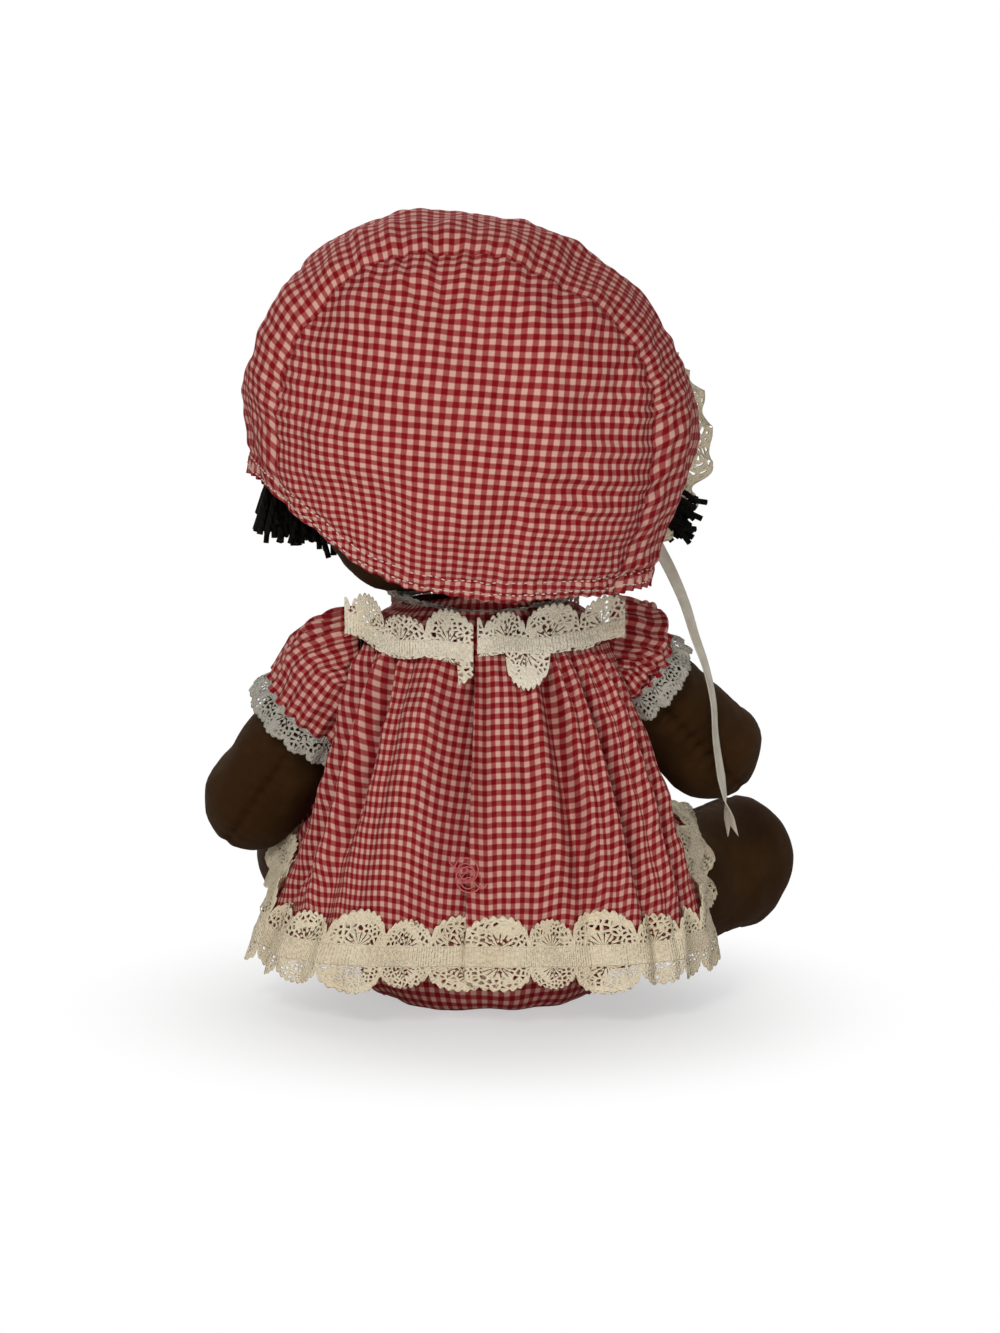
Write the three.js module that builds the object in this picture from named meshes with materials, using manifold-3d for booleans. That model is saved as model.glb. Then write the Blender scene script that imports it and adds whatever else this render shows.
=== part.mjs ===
// A seated rag doll in a checked dress and bonnet, built from the pieces it is sewn from.
// Millimetres, +Z up. The middle of the seat is the origin, on the floor. The doll faces -Y, and +X is
// its left side.

import * as THREE from 'three';
import { mergeVertices } from 'three/addons/utils/BufferGeometryUtils.js';
import Module from 'manifold-3d';

const wasm = await Module();
wasm.setup();

// Cloth, trim and clearances
const cloth = 1.8;
const lace = 1.2;
const gap = 0.3;
const facets = 18;

// Stuffed torso, with a neck on top and a shoulder stub at each side
const bodyY = -25;
const seatHalfWidth = 42;
const seatHalfDepth = 36;
const bellyZ = 36;
const bellyHalfWidth = 46;
const bellyHalfDepth = 39;
const waistZ = 88;
const waistHalfWidth = 41;
const waistHalfDepth = 32;
const shoulderZ = 140;
const shoulderY = -33;
const shoulderHalfWidth = 50;
const chestHalfWidth = 42;
const chestHalfDepth = 28;
const neckRise = 26;
const neckZ = shoulderZ + neckRise;
const neckRadius = 19;
const neckBaseHalfWidth = 27;
const neckBaseHalfDepth = 22;

// Arms: stuffed tubes that swell to a round mitten end
const armRootRadius = 13;
const armRadius = 18;
const handRadius = 21.5;
const armForward = 27;
const leftArmOut = 44;
const leftArmDrop = 67;
const rightArmOut = 41;
const rightArmDrop = 46;

// Legs: stuffed tubes lying on the floor, toes up
const hipY = -47;
const hipZ = 28;
const thighRadius = 25;
const footRadius = 28;
const legLength = 104;
const legGap = 6;
const toeRise = 7;
const leftSplay = THREE.MathUtils.degToRad(22);
const rightSplay = THREE.MathUtils.degToRad(43);

// Bloomers
const bloomersPuff = 5;
const elasticHeight = 6;
const bloomersLeg = 34;
const bloomersLace = 9;
const bloomersFlare = 0.6;

// Dress: yoke, gathered skirt, sleeves and lace
const yokeZ = shoulderZ + 5.5;
const yokeHalfWidth = 48;
const yokeHalfDepth = 36;
const yokeFullness = 0.85;
const necklineRise = 20;
const necklineZ = shoulderZ + necklineRise;
const necklineHalfWidth = 33;
const necklineHalfDepth = 29;
const hemHalfWidth = 86;
const hemBackY = 38;
const hemBackZ = 27;
const hemSideZ = 44;
const hemFrontY = -114;
const hemBackCorner = 26;
const hemBackRound = 5;
const hemFrontCorner = 22;
const hemFrontRound = 6;
const lapFall = 4.6;
const lapClearance = 8.6;
const foldCount = 14;
const foldDepth = 2.6;
const hemLaceBelow = 15;
const yokeLaceBelow = 8;
const yokeLaceBackAngle = 26;
const yokeLaceFrontAngle = 40;
const yokeLaceEase = 5;
const collarHeight = 5.5;
const collarFlare = 3;
const sleeveRootRadius = 20;
const leftSleeveRadius = 25;
const rightSleeveRadius = 22;
const cuffDrawIn = 1;
const leftSleeveLength = 32;
const rightSleeveLength = 14;
const sleeveLace = 10;
const snapRadius = 6.5;
const snapHeight = 2;
const snapX = 7;
const snapZ = 58;

// Head, hair and face
const headX = 4;
const headRise = 65;
const headZ = neckZ + headRise;
const headHalfWidth = 68;
const headHalfDepth = 54;
const headHalfHeight = 69;
const jawPower = 2.6;
const hairPeek = 8;
const hairPartDrop = 5;
const hairPartZ = headZ - hairPartDrop;
const hairBehind = 14;
const hairDrop = 47;
const hairLowZ = headZ - hairDrop;
const eyeSpacing = 46;
const eyeRise = 1;
const eyeZ = headZ + eyeRise;
const eyeHalfWidth = 6;
const eyeHalfHeight = 8;
const noseDrop = 13;
const noseZ = headZ - noseDrop;
const noseRadius = 4;
const mouthDrop = 31;
const mouthZ = headZ - mouthDrop;
const mouthHalfWidth = 15;
const mouthSag = 6;
const stitchRadius = 1.6;
const featureProud = 1.4;

// Bonnet
const bonnetX = 7;
const bonnetY = -5;
const bonnetZ = headZ + 9;
const bonnetHalfWidth = 88;
const bonnetHalfDepth = 60;
const bonnetFrontReach = 85;
const bonnetRise = 77;
const bonnetDrop = 120;
const bonnetHemZ = neckZ + 5;
const bonnetSeamY = 26;
const bonnetFrontY = -44;
const bonnetFrontLean = 0.16;
const bonnetCheekX = 36;
const bonnetCheekWidth = 22;
const bonnetCheekRise = 24;
const bonnetLeftSlope = 0.58;
const bonnetLace = 9;

// Ribbon, with its points measured up from the bonnet's hem
const ribbonWidth = 5;
const ribbonThickness = 1;
const rightRibbonPoints = [
  [-68.25, -29.5, 12.1], [-74.5, -30, 0], [-80, -30, -13], [-84, -30, -26], [-88.5, -29.5, -39],
  [-91.5, -31.5, -53], [-92.5, -34, -67], [-94.5, -35, -81], [-97, -35.5, -95], [-100, -36, -109],
];
const leftRibbonPoints = [
  [79.5, -48.4, 36.9], [73, -58, 24], [60, -69, 13], [47, -78, 5], [38, -84, -4], [34.5, -87, -15],
  [33.5, -89, -28], [33, -91, -41], [33, -93, -55], [33, -95, -69], [33, -98, -82], [33, -103, -92],
  [33, -110, -98],
];

// Colours
const colours = {
  brown: 0x3a2412,
  check: 0xb9525a,
  cream: 0xd9ccaa,
  white: 0xd5d3c8,
  black: 0x141210,
  satin: 0xcfc8b8,
  red: 0x8c2530,
  pink: 0xc98d86,
};

const X = new THREE.Vector3(1, 0, 0);
const Y = new THREE.Vector3(0, 1, 0);
const Z = new THREE.Vector3(0, 0, 1);
const far = 600;

const doll = new THREE.Group();

function addPiece(name, geometry, colour, roughness = 0.9) {
  const material = new THREE.MeshStandardMaterial({ color: colour, roughness, metalness: 0 });
  const piece = new THREE.Mesh(geometry, material);
  piece.name = name;
  doll.add(piece);
  return piece;
}

// Closed meshes and boolean cuts

function closedGeometry(positions, index) {
  let volume = 0;
  const a = new THREE.Vector3();
  const b = new THREE.Vector3();
  const c = new THREE.Vector3();
  for (let i = 0; i < index.length; i += 3) {
    a.fromArray(positions, index[i] * 3);
    b.fromArray(positions, index[i + 1] * 3);
    c.fromArray(positions, index[i + 2] * 3);
    volume += a.dot(b.cross(c));
  }
  const geometry = new THREE.BufferGeometry();
  geometry.setAttribute('position', new THREE.Float32BufferAttribute(positions, 3));
  geometry.setIndex(volume > 0 ? index : index.slice().reverse());
  return geometry;
}

function toSolid(geometry) {
  const bare = geometry.clone();
  bare.deleteAttribute('normal');
  bare.deleteAttribute('uv');
  const merged = mergeVertices(bare, 1e-4);
  return new wasm.Manifold(new wasm.Mesh({
    numProp: 3,
    vertProperties: new Float32Array(merged.attributes.position.array),
    triVerts: new Uint32Array(merged.index.array),
  }));
}

function toGeometry(solid) {
  const { vertProperties, triVerts } = solid.getMesh();
  return closedGeometry(Array.from(vertProperties), Array.from(triVerts));
}

function box(low, high) {
  const size = new THREE.Vector3().subVectors(high, low);
  const geometry = new THREE.BoxGeometry(size.x, size.y, size.z);
  geometry.translate((low.x + high.x) / 2, (low.y + high.y) / 2, (low.z + high.z) / 2);
  return toSolid(geometry);
}

const above = (z) => box(new THREE.Vector3(-far, -far, z), new THREE.Vector3(far, far, far));
const below = (z) => box(new THREE.Vector3(-far, -far, -far), new THREE.Vector3(far, far, z));
const leftOf = (x) => box(new THREE.Vector3(x, -far, -far), new THREE.Vector3(far, far, far));
const rightOf = (x) => box(new THREE.Vector3(-far, -far, -far), new THREE.Vector3(x, far, far));

// A slab carried right through the doll from an outline drawn on two axes
function slab(outline, across, up) {
  const geometry = new THREE.ExtrudeGeometry(outline, {
    depth: 2 * far,
    bevelEnabled: false,
    curveSegments: 10,
  });
  geometry.translate(0, 0, -far);
  const through = new THREE.Vector3().crossVectors(across, up);
  geometry.applyMatrix4(new THREE.Matrix4().makeBasis(across, up, through));
  return toSolid(geometry);
}

// A solid through a row of closed rings, with flat ends
function loft(rings) {
  const around = rings[0].length;
  const positions = rings.flat().flatMap((p) => p.toArray());
  const index = [];
  for (let r = 0; r < rings.length - 1; r += 1) {
    for (let c = 0; c < around; c += 1) {
      const a = r * around + c;
      const b = r * around + ((c + 1) % around);
      index.push(a, b, a + around, b, b + around, a + around);
    }
  }
  [0, rings.length - 1].forEach((r) => {
    const middle = rings[r].reduce((sum, p) => sum.add(p), new THREE.Vector3()).divideScalar(around);
    const hub = positions.length / 3;
    positions.push(...middle.toArray());
    for (let c = 0; c < around; c += 1) {
      const a = r * around + c;
      const b = r * around + ((c + 1) % around);
      index.push(...(r === 0 ? [b, a, hub] : [a, b, hub]));
    }
  });
  return closedGeometry(positions, index);
}

// A wall between two grids of points. A wall that runs right round joins its last column to its first.
function wall(outer, inner, runsRound) {
  const rows = outer.length;
  const columns = outer[0].length;
  const positions = [...outer.flat(), ...inner.flat()].flatMap((p) => p.toArray());
  const at = (side, r, c) => side * rows * columns + r * columns + (c % columns);
  const index = [];
  const quad = (a, b, c, d) => index.push(a, b, c, a, c, d);
  const lastColumn = runsRound ? columns : columns - 1;
  for (let c = 0; c < lastColumn; c += 1) {
    for (let r = 0; r < rows - 1; r += 1) {
      quad(at(0, r, c), at(0, r, c + 1), at(0, r + 1, c + 1), at(0, r + 1, c));
      quad(at(1, r, c), at(1, r + 1, c), at(1, r + 1, c + 1), at(1, r, c + 1));
    }
    quad(at(0, 0, c), at(1, 0, c), at(1, 0, c + 1), at(0, 0, c + 1));
    const r = rows - 1;
    quad(at(0, r, c), at(0, r, c + 1), at(1, r, c + 1), at(1, r, c));
  }
  if (!runsRound) {
    for (let r = 0; r < rows - 1; r += 1) {
      quad(at(0, r, 0), at(0, r + 1, 0), at(1, r + 1, 0), at(1, r, 0));
      const c = columns - 1;
      quad(at(0, r, c), at(1, r, c), at(1, r + 1, c), at(0, r + 1, c));
    }
  }
  return closedGeometry(positions, index);
}

// The grid moved square to itself by a distance, or by a function of row and column. Rows run downwards and
// columns clockwise from above, so a positive distance is outwards.
function offsetGrid(grid, distance, runsRound) {
  const rows = grid.length;
  const columns = grid[0].length;
  return grid.map((row, r) => row.map((point, c) => {
    const next = runsRound ? (c + 1) % columns : Math.min(c + 1, columns - 1);
    const last = runsRound ? (c + columns - 1) % columns : Math.max(c - 1, 0);
    const along = new THREE.Vector3().subVectors(row[next], row[last]);
    const down = new THREE.Vector3().subVectors(
      grid[Math.min(r + 1, rows - 1)][c],
      grid[Math.max(r - 1, 0)][c],
    );
    const reach = typeof distance === 'function' ? distance(r, c) : distance;
    return point.clone().addScaledVector(along.cross(down).normalize(), reach);
  }));
}

function ellipseRing(halfWidth, halfDepth, y, z) {
  const ring = [];
  for (let i = 0; i < facets; i += 1) {
    const turn = (i / facets) * 2 * Math.PI;
    ring.push(new THREE.Vector3(halfWidth * Math.cos(turn), y + halfDepth * Math.sin(turn), z));
  }
  return ring;
}

// A round ring about a point, square to an axis
function roundRing(centre, axis, radius) {
  const side = new THREE.Vector3().crossVectors(axis, Z).normalize();
  const up = new THREE.Vector3().crossVectors(side, axis).normalize();
  const ring = [];
  for (let i = 0; i < facets; i += 1) {
    const turn = (i / facets) * 2 * Math.PI;
    ring.push(centre.clone()
      .addScaledVector(side, radius * Math.cos(turn))
      .addScaledVector(up, radius * Math.sin(turn)));
  }
  return ring;
}

// A closed cord along hand-set points, with an eight-sided section
function cord(points, halfWidth, halfThickness, steps) {
  const section = new THREE.Shape();
  for (let i = 0; i < 8; i += 1) {
    const turn = ((i + 0.5) / 8) * 2 * Math.PI;
    const corner = [halfThickness * Math.cos(turn), halfWidth * Math.sin(turn)];
    if (i === 0) {
      section.moveTo(...corner);
    } else {
      section.lineTo(...corner);
    }
  }
  const extrudePath = new THREE.CatmullRomCurve3(points);
  const geometry = new THREE.ExtrudeGeometry(section, { extrudePath, steps, bevelEnabled: false });
  return toGeometry(toSolid(geometry));
}

// Torso

const torsoKeys = [
  [seatHalfWidth, seatHalfDepth, cloth + gap],
  [bellyHalfWidth, bellyHalfDepth, bellyZ],
  [waistHalfWidth, waistHalfDepth, waistZ],
  [chestHalfWidth, chestHalfDepth, shoulderZ - armRootRadius],
  [chestHalfWidth, chestHalfDepth, shoulderZ],
  [neckBaseHalfWidth, neckBaseHalfDepth, shoulderZ + armRootRadius],
  [neckRadius, neckRadius, neckZ - gap],
];

// Rings of the torso's outline between two heights, grown outwards by a distance
function torsoRings(grow, steps = 11) {
  const curve = new THREE.CatmullRomCurve3(torsoKeys.map((key) => new THREE.Vector3(...key)));
  return curve.getPoints(steps).map((p) => ellipseRing(p.x + grow, p.y + grow, bodyY, p.z));
}

function torsoBetween(low, high, grow) {
  return toSolid(loft(torsoRings(grow))).intersect(above(low)).intersect(below(high));
}

// The room that both thighs sweep as the legs swing from lying forwards to hanging down
function hipRoom(radius) {
  const outline = new THREE.Shape();
  outline.moveTo(hipY + radius, -far);
  outline.lineTo(hipY + radius, hipZ);
  outline.absarc(hipY, hipZ, radius, 0, Math.PI / 2, false);
  outline.lineTo(-far, hipZ + radius);
  outline.lineTo(-far, -far);
  return slab(outline, Y, Z);
}

const bloomersRadius = thighRadius + gap + cloth;
const legRoom = hipRoom(bloomersRadius + bloomersFlare + gap);

// A round bar along X through the shoulders, used for the stubs and the armholes
function shoulderBar(radius, halfLength) {
  const geometry = new THREE.CylinderGeometry(radius, radius, 2 * halfLength, facets);
  geometry.rotateZ(Math.PI / 2);
  geometry.translate(0, shoulderY, shoulderZ);
  return toSolid(geometry);
}

const stubX = shoulderHalfWidth - gap;
const torso = toSolid(loft(torsoRings(0)))
  .add(shoulderBar(armRootRadius, stubX))
  .subtract(legRoom);
addPiece('torso', toGeometry(torso), colours.brown);

// Bloomers seat and its elastic

const bloomersTop = waistZ - elasticHeight / 2;
const bloomersKeys = [
  [seatHalfWidth + cloth, seatHalfDepth + cloth + gap, 0],
  [bellyHalfWidth + bloomersPuff, bellyHalfDepth + bloomersPuff, bellyZ / 2],
  [bellyHalfWidth + bloomersPuff, bellyHalfDepth + bloomersPuff, bellyZ],
  [waistHalfWidth + cloth + 2 * gap, waistHalfDepth + cloth + 2 * gap, bloomersTop],
];
const bloomersCurve = new THREE.CatmullRomCurve3(bloomersKeys.map((key) => new THREE.Vector3(...key)));
const bloomersRings = bloomersCurve.getPoints(9).map((p) => ellipseRing(p.x, p.y, bodyY, Math.max(p.z, 0)));
const bloomers = toSolid(loft(bloomersRings))
  .subtract(toSolid(loft(torsoRings(gap))))
  .subtract(legRoom);
addPiece('bloomers_seat', toGeometry(bloomers), colours.check);

const elasticLow = bloomersTop + gap;
const elastic = torsoBetween(elasticLow, elasticLow + elasticHeight, gap + cloth)
  .subtract(toSolid(loft(torsoRings(gap))));
addPiece('waist_elastic', toGeometry(elastic), colours.white);

// Arms and sleeves

// Stations of a stuffed tube: its length in even steps, then a round end
function tubeStations(length, radius, endRadius) {
  const stations = [];
  const steps = 6;
  for (let i = 1; i <= steps; i += 1) {
    const share = i / steps;
    stations.push({ distance: share * length, radius: THREE.MathUtils.lerp(radius, endRadius, share) });
  }
  const roundSteps = 4;
  for (let i = 1; i <= roundSteps; i += 1) {
    const turn = (i / (roundSteps + 0.4)) * (Math.PI / 2);
    stations.push({ distance: length + endRadius * Math.sin(turn), radius: endRadius * Math.cos(turn) });
  }
  return stations;
}

// Radius of a puffed sleeve at shares of its length
const sleeveProfile = (fullRadius) => [
  [0, sleeveRootRadius],
  [0.22, fullRadius - cuffDrawIn],
  [0.5, fullRadius],
  [0.8, fullRadius - cuffDrawIn],
  [1, fullRadius - cuffDrawIn],
];

function arm(side, out, drop, sleeveLength, sleeveRadius) {
  const cuffRadius = sleeveRadius - cuffDrawIn;
  const root = new THREE.Vector3(side * shoulderHalfWidth, shoulderY, shoulderZ);
  const reach = new THREE.Vector3(side * out, -armForward, -drop);
  const length = reach.length();
  const along = reach.clone().normalize();
  const flat = X.clone().multiplyScalar(side);
  const turnIn = (t) => flat.clone().lerp(along, THREE.MathUtils.smoothstep(t, 0, 0.4)).normalize();

  const armSolid = (grow) => {
    const rings = [roundRing(root, flat, armRootRadius + grow)];
    tubeStations(length, armRadius + grow, handRadius + grow).forEach(({ distance, radius }) => {
      const centre = root.clone().addScaledVector(along, distance);
      rings.push(roundRing(centre, turnIn(distance / length), radius));
    });
    return toSolid(loft(rings));
  };

  const sleeveRing = (t, radius) => {
    const centre = root.clone().addScaledVector(along, t * sleeveLength);
    return roundRing(centre, turnIn(t * 1.6), radius);
  };
  const profile = sleeveProfile(sleeveRadius);
  const sleeveOuter = profile.map(([share, radius]) => sleeveRing(share, radius));
  const inside = root.clone().addScaledVector(flat, cloth);
  const beyond = root.clone().addScaledVector(along, sleeveLength + cloth);
  const sleeveInner = [
    roundRing(inside, flat, sleeveRootRadius - cloth),
    ...profile.slice(1, -1).map(([share, radius]) => sleeveRing(share, radius - cloth)),
    roundRing(beyond, along, cuffRadius - cloth),
  ];
  const outside = side > 0 ? leftOf(shoulderHalfWidth) : rightOf(-shoulderHalfWidth);
  const sleeve = toSolid(loft(sleeveOuter))
    .subtract(toSolid(loft(sleeveInner)))
    .subtract(armSolid(gap))
    .intersect(outside);

  const laceAt = (distance) => root.clone().addScaledVector(along, sleeveLength + distance);
  const laceGrid = (radius) => [gap, gap + sleeveLace].map((d) => roundRing(laceAt(d), along, radius));
  const laceWall = wall(laceGrid(cuffRadius), laceGrid(cuffRadius - lace), true);
  const cuffLace = toSolid(laceWall).intersect(outside);

  const name = side > 0 ? 'left' : 'right';
  addPiece(`${name}_arm`, toGeometry(armSolid(0).intersect(outside)), colours.brown);
  addPiece(`${name}_sleeve`, toGeometry(sleeve), colours.check);
  addPiece(`${name}_sleeve_lace`, toGeometry(cuffLace), colours.white);
}

arm(1, leftArmOut, leftArmDrop, leftSleeveLength, leftSleeveRadius);
arm(-1, rightArmOut, rightArmDrop, rightSleeveLength, rightSleeveRadius);

// Legs and bloomers legs

// Rings of a round end that closes a tube behind a point, up to the full radius there
function rootRings(centre, along, radius) {
  const rings = [];
  const steps = 4;
  for (let i = 0; i < steps; i += 1) {
    const turn = ((i + 0.4) / steps) * (Math.PI / 2);
    const behind = centre.clone().addScaledVector(along, -radius * Math.cos(turn));
    rings.push(roundRing(behind, along, radius * Math.sin(turn)));
  }
  rings.push(roundRing(centre, along, radius));
  return rings;
}

function leg(side, splay) {
  const hip = new THREE.Vector3(side * (bloomersRadius + legGap / 2), hipY, hipZ);
  const along = new THREE.Vector3(side * Math.sin(splay), -Math.cos(splay), 0);

  const legSolid = (grow) => {
    const rings = rootRings(hip, along, thighRadius + grow);
    tubeStations(legLength, thighRadius + grow, footRadius + grow).forEach(({ distance, radius }) => {
      const centre = hip.clone().addScaledVector(along, distance);
      centre.z += toeRise * THREE.MathUtils.smoothstep(distance, legLength / 2, legLength + footRadius);
      rings.push(roundRing(centre, along, radius));
    });
    return toSolid(loft(rings));
  };

  const edgeRadius = bloomersRadius + bloomersFlare;
  const edgeRing = (distance, radius) => (
    roundRing(hip.clone().addScaledVector(along, bloomersLeg + distance), along, radius));
  const clothSolid = toSolid(loft([...rootRings(hip, along, bloomersRadius), edgeRing(0, edgeRadius)]))
    .subtract(legSolid(gap))
    .intersect(above(0));

  const laceGrid = (radius) => [gap, gap + bloomersLace].map((distance) => edgeRing(distance, radius));
  const laceSolid = toSolid(wall(laceGrid(edgeRadius), laceGrid(edgeRadius - lace), true))
    .subtract(legSolid(gap))
    .intersect(above(0));

  const name = side > 0 ? 'left' : 'right';
  addPiece(`${name}_leg`, toGeometry(legSolid(0).intersect(above(0))), colours.brown);
  addPiece(`bloomers_${name}_leg`, toGeometry(clothSolid), colours.check);
  addPiece(`bloomers_${name}_lace`, toGeometry(laceSolid), colours.white);
}

leg(1, leftSplay);
leg(-1, rightSplay);

// Dress

const armholes = shoulderBar(armRootRadius + gap, far);
const lapZ = hipZ + bloomersRadius + lapClearance;

// Each column of the skirt runs from its turn on the yoke seam, in degrees, through a bend, to the hem.
// The left side hangs closer to the body, so some of its columns bend elsewhere than on the right.
const skirtColumns = [
  { turn: 90, bend: [0, 27, 86], hem: [0, hemBackY, hemBackZ] },
  {
    turn: 52,
    bend: [50, 21, 86],
    leftBend: [42, 22, 86],
    hem: [hemHalfWidth - hemBackCorner, hemBackY - hemBackRound, hemBackZ],
  },
  { turn: 27, bend: [71, 6, 86], leftBend: [51, 8, 86], hem: [hemHalfWidth, 4, hemBackZ] },
  {
    turn: 4,
    bend: [50, -16, 85],
    leftBend: [40, -16, 85],
    hem: [hemHalfWidth, -26, (hemBackZ + hemSideZ) / 2],
  },
  { turn: -14, bend: [41, -38, 84], hem: [hemHalfWidth, -56, hemSideZ] },
  { turn: -30, bend: [48, -60, lapZ], hem: [hemHalfWidth - lapFall / 2, -84, lapZ - lapFall] },
  { turn: -50, bend: [50, -78, lapZ], hem: [hemHalfWidth - hemFrontCorner, hemFrontY + hemFrontRound, lapZ] },
  { turn: -90, bend: [0, -84, lapZ], hem: [0, hemFrontY, lapZ] },
];
const skirtAround = 56;

function skirtRing(drop) {
  const halfRing = (side) => skirtColumns.map(({ turn, bend, leftBend = bend, hem }) => {
    const angle = THREE.MathUtils.degToRad(turn);
    const middle = new THREE.Vector3(...(side > 0 ? leftBend : bend));
    const top = new THREE.Vector3(
      yokeHalfWidth * Math.cos(angle),
      bodyY + yokeHalfDepth * Math.sin(angle),
      yokeZ - gap,
    );
    const line = new THREE.QuadraticBezierCurve3(top, middle, new THREE.Vector3(...hem));
    return line.getPoint(drop).multiply(new THREE.Vector3(side, 1, 1));
  });
  const right = halfRing(-1).slice(1, -1).reverse();
  const ring = new THREE.CatmullRomCurve3([...halfRing(1), ...right], true);
  const points = [];
  for (let i = 0; i < skirtAround; i += 1) {
    points.push(ring.getPoint(i / skirtAround));
  }
  return points;
}

const skirtDrops = [0, 0.08, 0.2, 0.36, 0.54, 0.72, 0.86, 1];
const hemLaceRows = 2;
const foldTurn = (c) => (2 * Math.PI * foldCount * c) / skirtAround;
const fold = (r, c) => foldDepth * Math.sqrt(skirtDrops[r]) * Math.cos(foldTurn(c));
const skirtGrid = offsetGrid(skirtDrops.map(skirtRing), fold, true);

// Beside the arms the skirt stays inside the shoulder planes, so that the sleeves can swing past it
const sleeveLowZ = shoulderZ - leftSleeveLength - sleeveLace - leftSleeveRadius;
const besideArms = (p) => p.z > sleeveLowZ && p.y < shoulderY + sleeveRootRadius;
const skirtSide = shoulderHalfWidth - gap;
skirtGrid.flat().filter(besideArms).forEach((p) => {
  p.x = THREE.MathUtils.clamp(p.x, -skirtSide, skirtSide);
});
const skirtWall = wall(skirtGrid, offsetGrid(skirtGrid, -cloth, true), true);
const skirt = addPiece('dress_skirt', toGeometry(toSolid(skirtWall).subtract(armholes)), colours.check);

const hemGrid = skirtGrid.slice(-hemLaceRows);
const laceEdge = hemGrid[hemLaceRows - 1].map((point, c) => {
  const down = new THREE.Vector3().subVectors(point, hemGrid[hemLaceRows - 2][c]).normalize();
  return point.clone().addScaledVector(down, hemLaceBelow);
});
const hemLaceGrid = [...hemGrid, laceEdge];
const hemLace = wall(
  offsetGrid(hemLaceGrid, gap + lace, true),
  offsetGrid(hemLaceGrid, gap, true),
  true,
);
addPiece('hem_lace', hemLace, colours.cream);

// Rings of the yoke from the neckline down to the seam, grown outwards by a distance
function yokeRings(grow) {
  const middleHalfWidth = THREE.MathUtils.lerp(necklineHalfWidth, yokeHalfWidth, yokeFullness);
  const middleHalfDepth = THREE.MathUtils.lerp(necklineHalfDepth, yokeHalfDepth, yokeFullness);
  return [
    [necklineHalfWidth, necklineHalfDepth, necklineZ],
    [middleHalfWidth, middleHalfDepth, (necklineZ + yokeZ) / 2],
    [yokeHalfWidth, yokeHalfDepth, yokeZ],
  ].map(([halfWidth, halfDepth, z]) => [halfWidth + grow, halfDepth + grow, z]);
}

const yokeGrid = (grow) => yokeRings(grow).map(([a, b, z]) => ellipseRing(a, b, bodyY, z));
const yoke = toSolid(wall(yokeGrid(0), yokeGrid(-cloth), true)).subtract(armholes);
addPiece('dress_yoke', toGeometry(yoke), colours.check);

// A lace strip over the yoke seam, across the back or the front between the arms
function yokeLace(name, facing, clearAngle) {
  const rowsAt = (grow) => {
    const rows = yokeRings(grow);
    const lower = (share) => [
      yokeHalfWidth + share * yokeLaceEase + grow,
      yokeHalfDepth + share * yokeLaceEase + grow,
      yokeZ - share * yokeLaceBelow,
    ];
    return [...rows, lower(0.2), lower(1)];
  };
  const grid = (grow) => rowsAt(grow).map(([a, b, z]) => {
    const points = [];
    const steps = 14;
    for (let i = 0; i <= steps; i += 1) {
      const degrees = facing + THREE.MathUtils.lerp(90 - clearAngle, clearAngle - 90, i / steps);
      const turn = THREE.MathUtils.degToRad(degrees);
      points.push(new THREE.Vector3(a * Math.cos(turn), bodyY + b * Math.sin(turn), z));
    }
    return points;
  });
  addPiece(name, wall(grid(2 * gap + lace), grid(2 * gap), false), colours.cream);
}

yokeLace('yoke_lace_back', 90, yokeLaceBackAngle);
yokeLace('yoke_lace_front', -90, yokeLaceFrontAngle);

const collarRing = (grow, rise) => (
  ellipseRing(necklineHalfWidth + grow, necklineHalfDepth + grow, bodyY, necklineZ + gap + rise));
const collarGrid = (grow) => [collarRing(grow + collarFlare, collarHeight), collarRing(grow, 0)];
addPiece('collar_lace', wall(collarGrid(0), collarGrid(-lace), true), colours.white);

// A sewn snap on the centre-back opening, lying on the skirt
function skirtBackY(x, z) {
  const ray = new THREE.Raycaster(new THREE.Vector3(x, far, z), new THREE.Vector3(0, -1, 0));
  return ray.intersectObject(skirt)[0].point.y;
}

const snapFeelers = ellipseRing(snapRadius, snapRadius, snapZ, 0);
const snapY = Math.max(...snapFeelers.map((p) => skirtBackY(snapX + p.x, p.y)));
const snap = new THREE.CylinderGeometry(snapRadius, snapRadius, snapHeight, facets);
snap.translate(snapX, snapY + gap + snapHeight / 2, snapZ);
addPiece('placket_snap', snap, colours.pink);

// Head, hair and face

const headAt = new THREE.Vector3(headX, bodyY, headZ);

function headSolid(grow) {
  const geometry = new THREE.SphereGeometry(1, 22, 13);
  geometry.rotateX(Math.PI / 2);
  const place = geometry.attributes.position;
  for (let i = 0; i < place.count; i += 1) {
    const z = place.getZ(i);
    const round = Math.sqrt(Math.max(1 - z * z, 0));
    const full = (1 - Math.min(Math.abs(z), 1) ** jawPower) ** (1 / jawPower);
    place.setX(i, z < 0 && round > 0.01 ? (place.getX(i) * full) / round : place.getX(i));
  }
  geometry.scale(headHalfWidth + grow, headHalfDepth + grow, headHalfHeight + grow);
  geometry.translate(headAt.x, headAt.y, headAt.z);
  return toSolid(geometry);
}

addPiece('head', toGeometry(headSolid(0).intersect(above(neckZ))), colours.brown);

// The point on the front of the head at a place beside and above its middle, and the way out of it there
function faceAt(x, z) {
  const side = x / headHalfWidth;
  const rise = (z - headZ) / headHalfHeight;
  const front = -Math.sqrt(1 - side * side - rise * rise);
  const point = new THREE.Vector3(headX + x, bodyY + headHalfDepth * front, z);
  const out = new THREE.Vector3(side / headHalfWidth, front / headHalfDepth, rise / headHalfHeight);
  return { point, out: out.normalize() };
}

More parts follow.
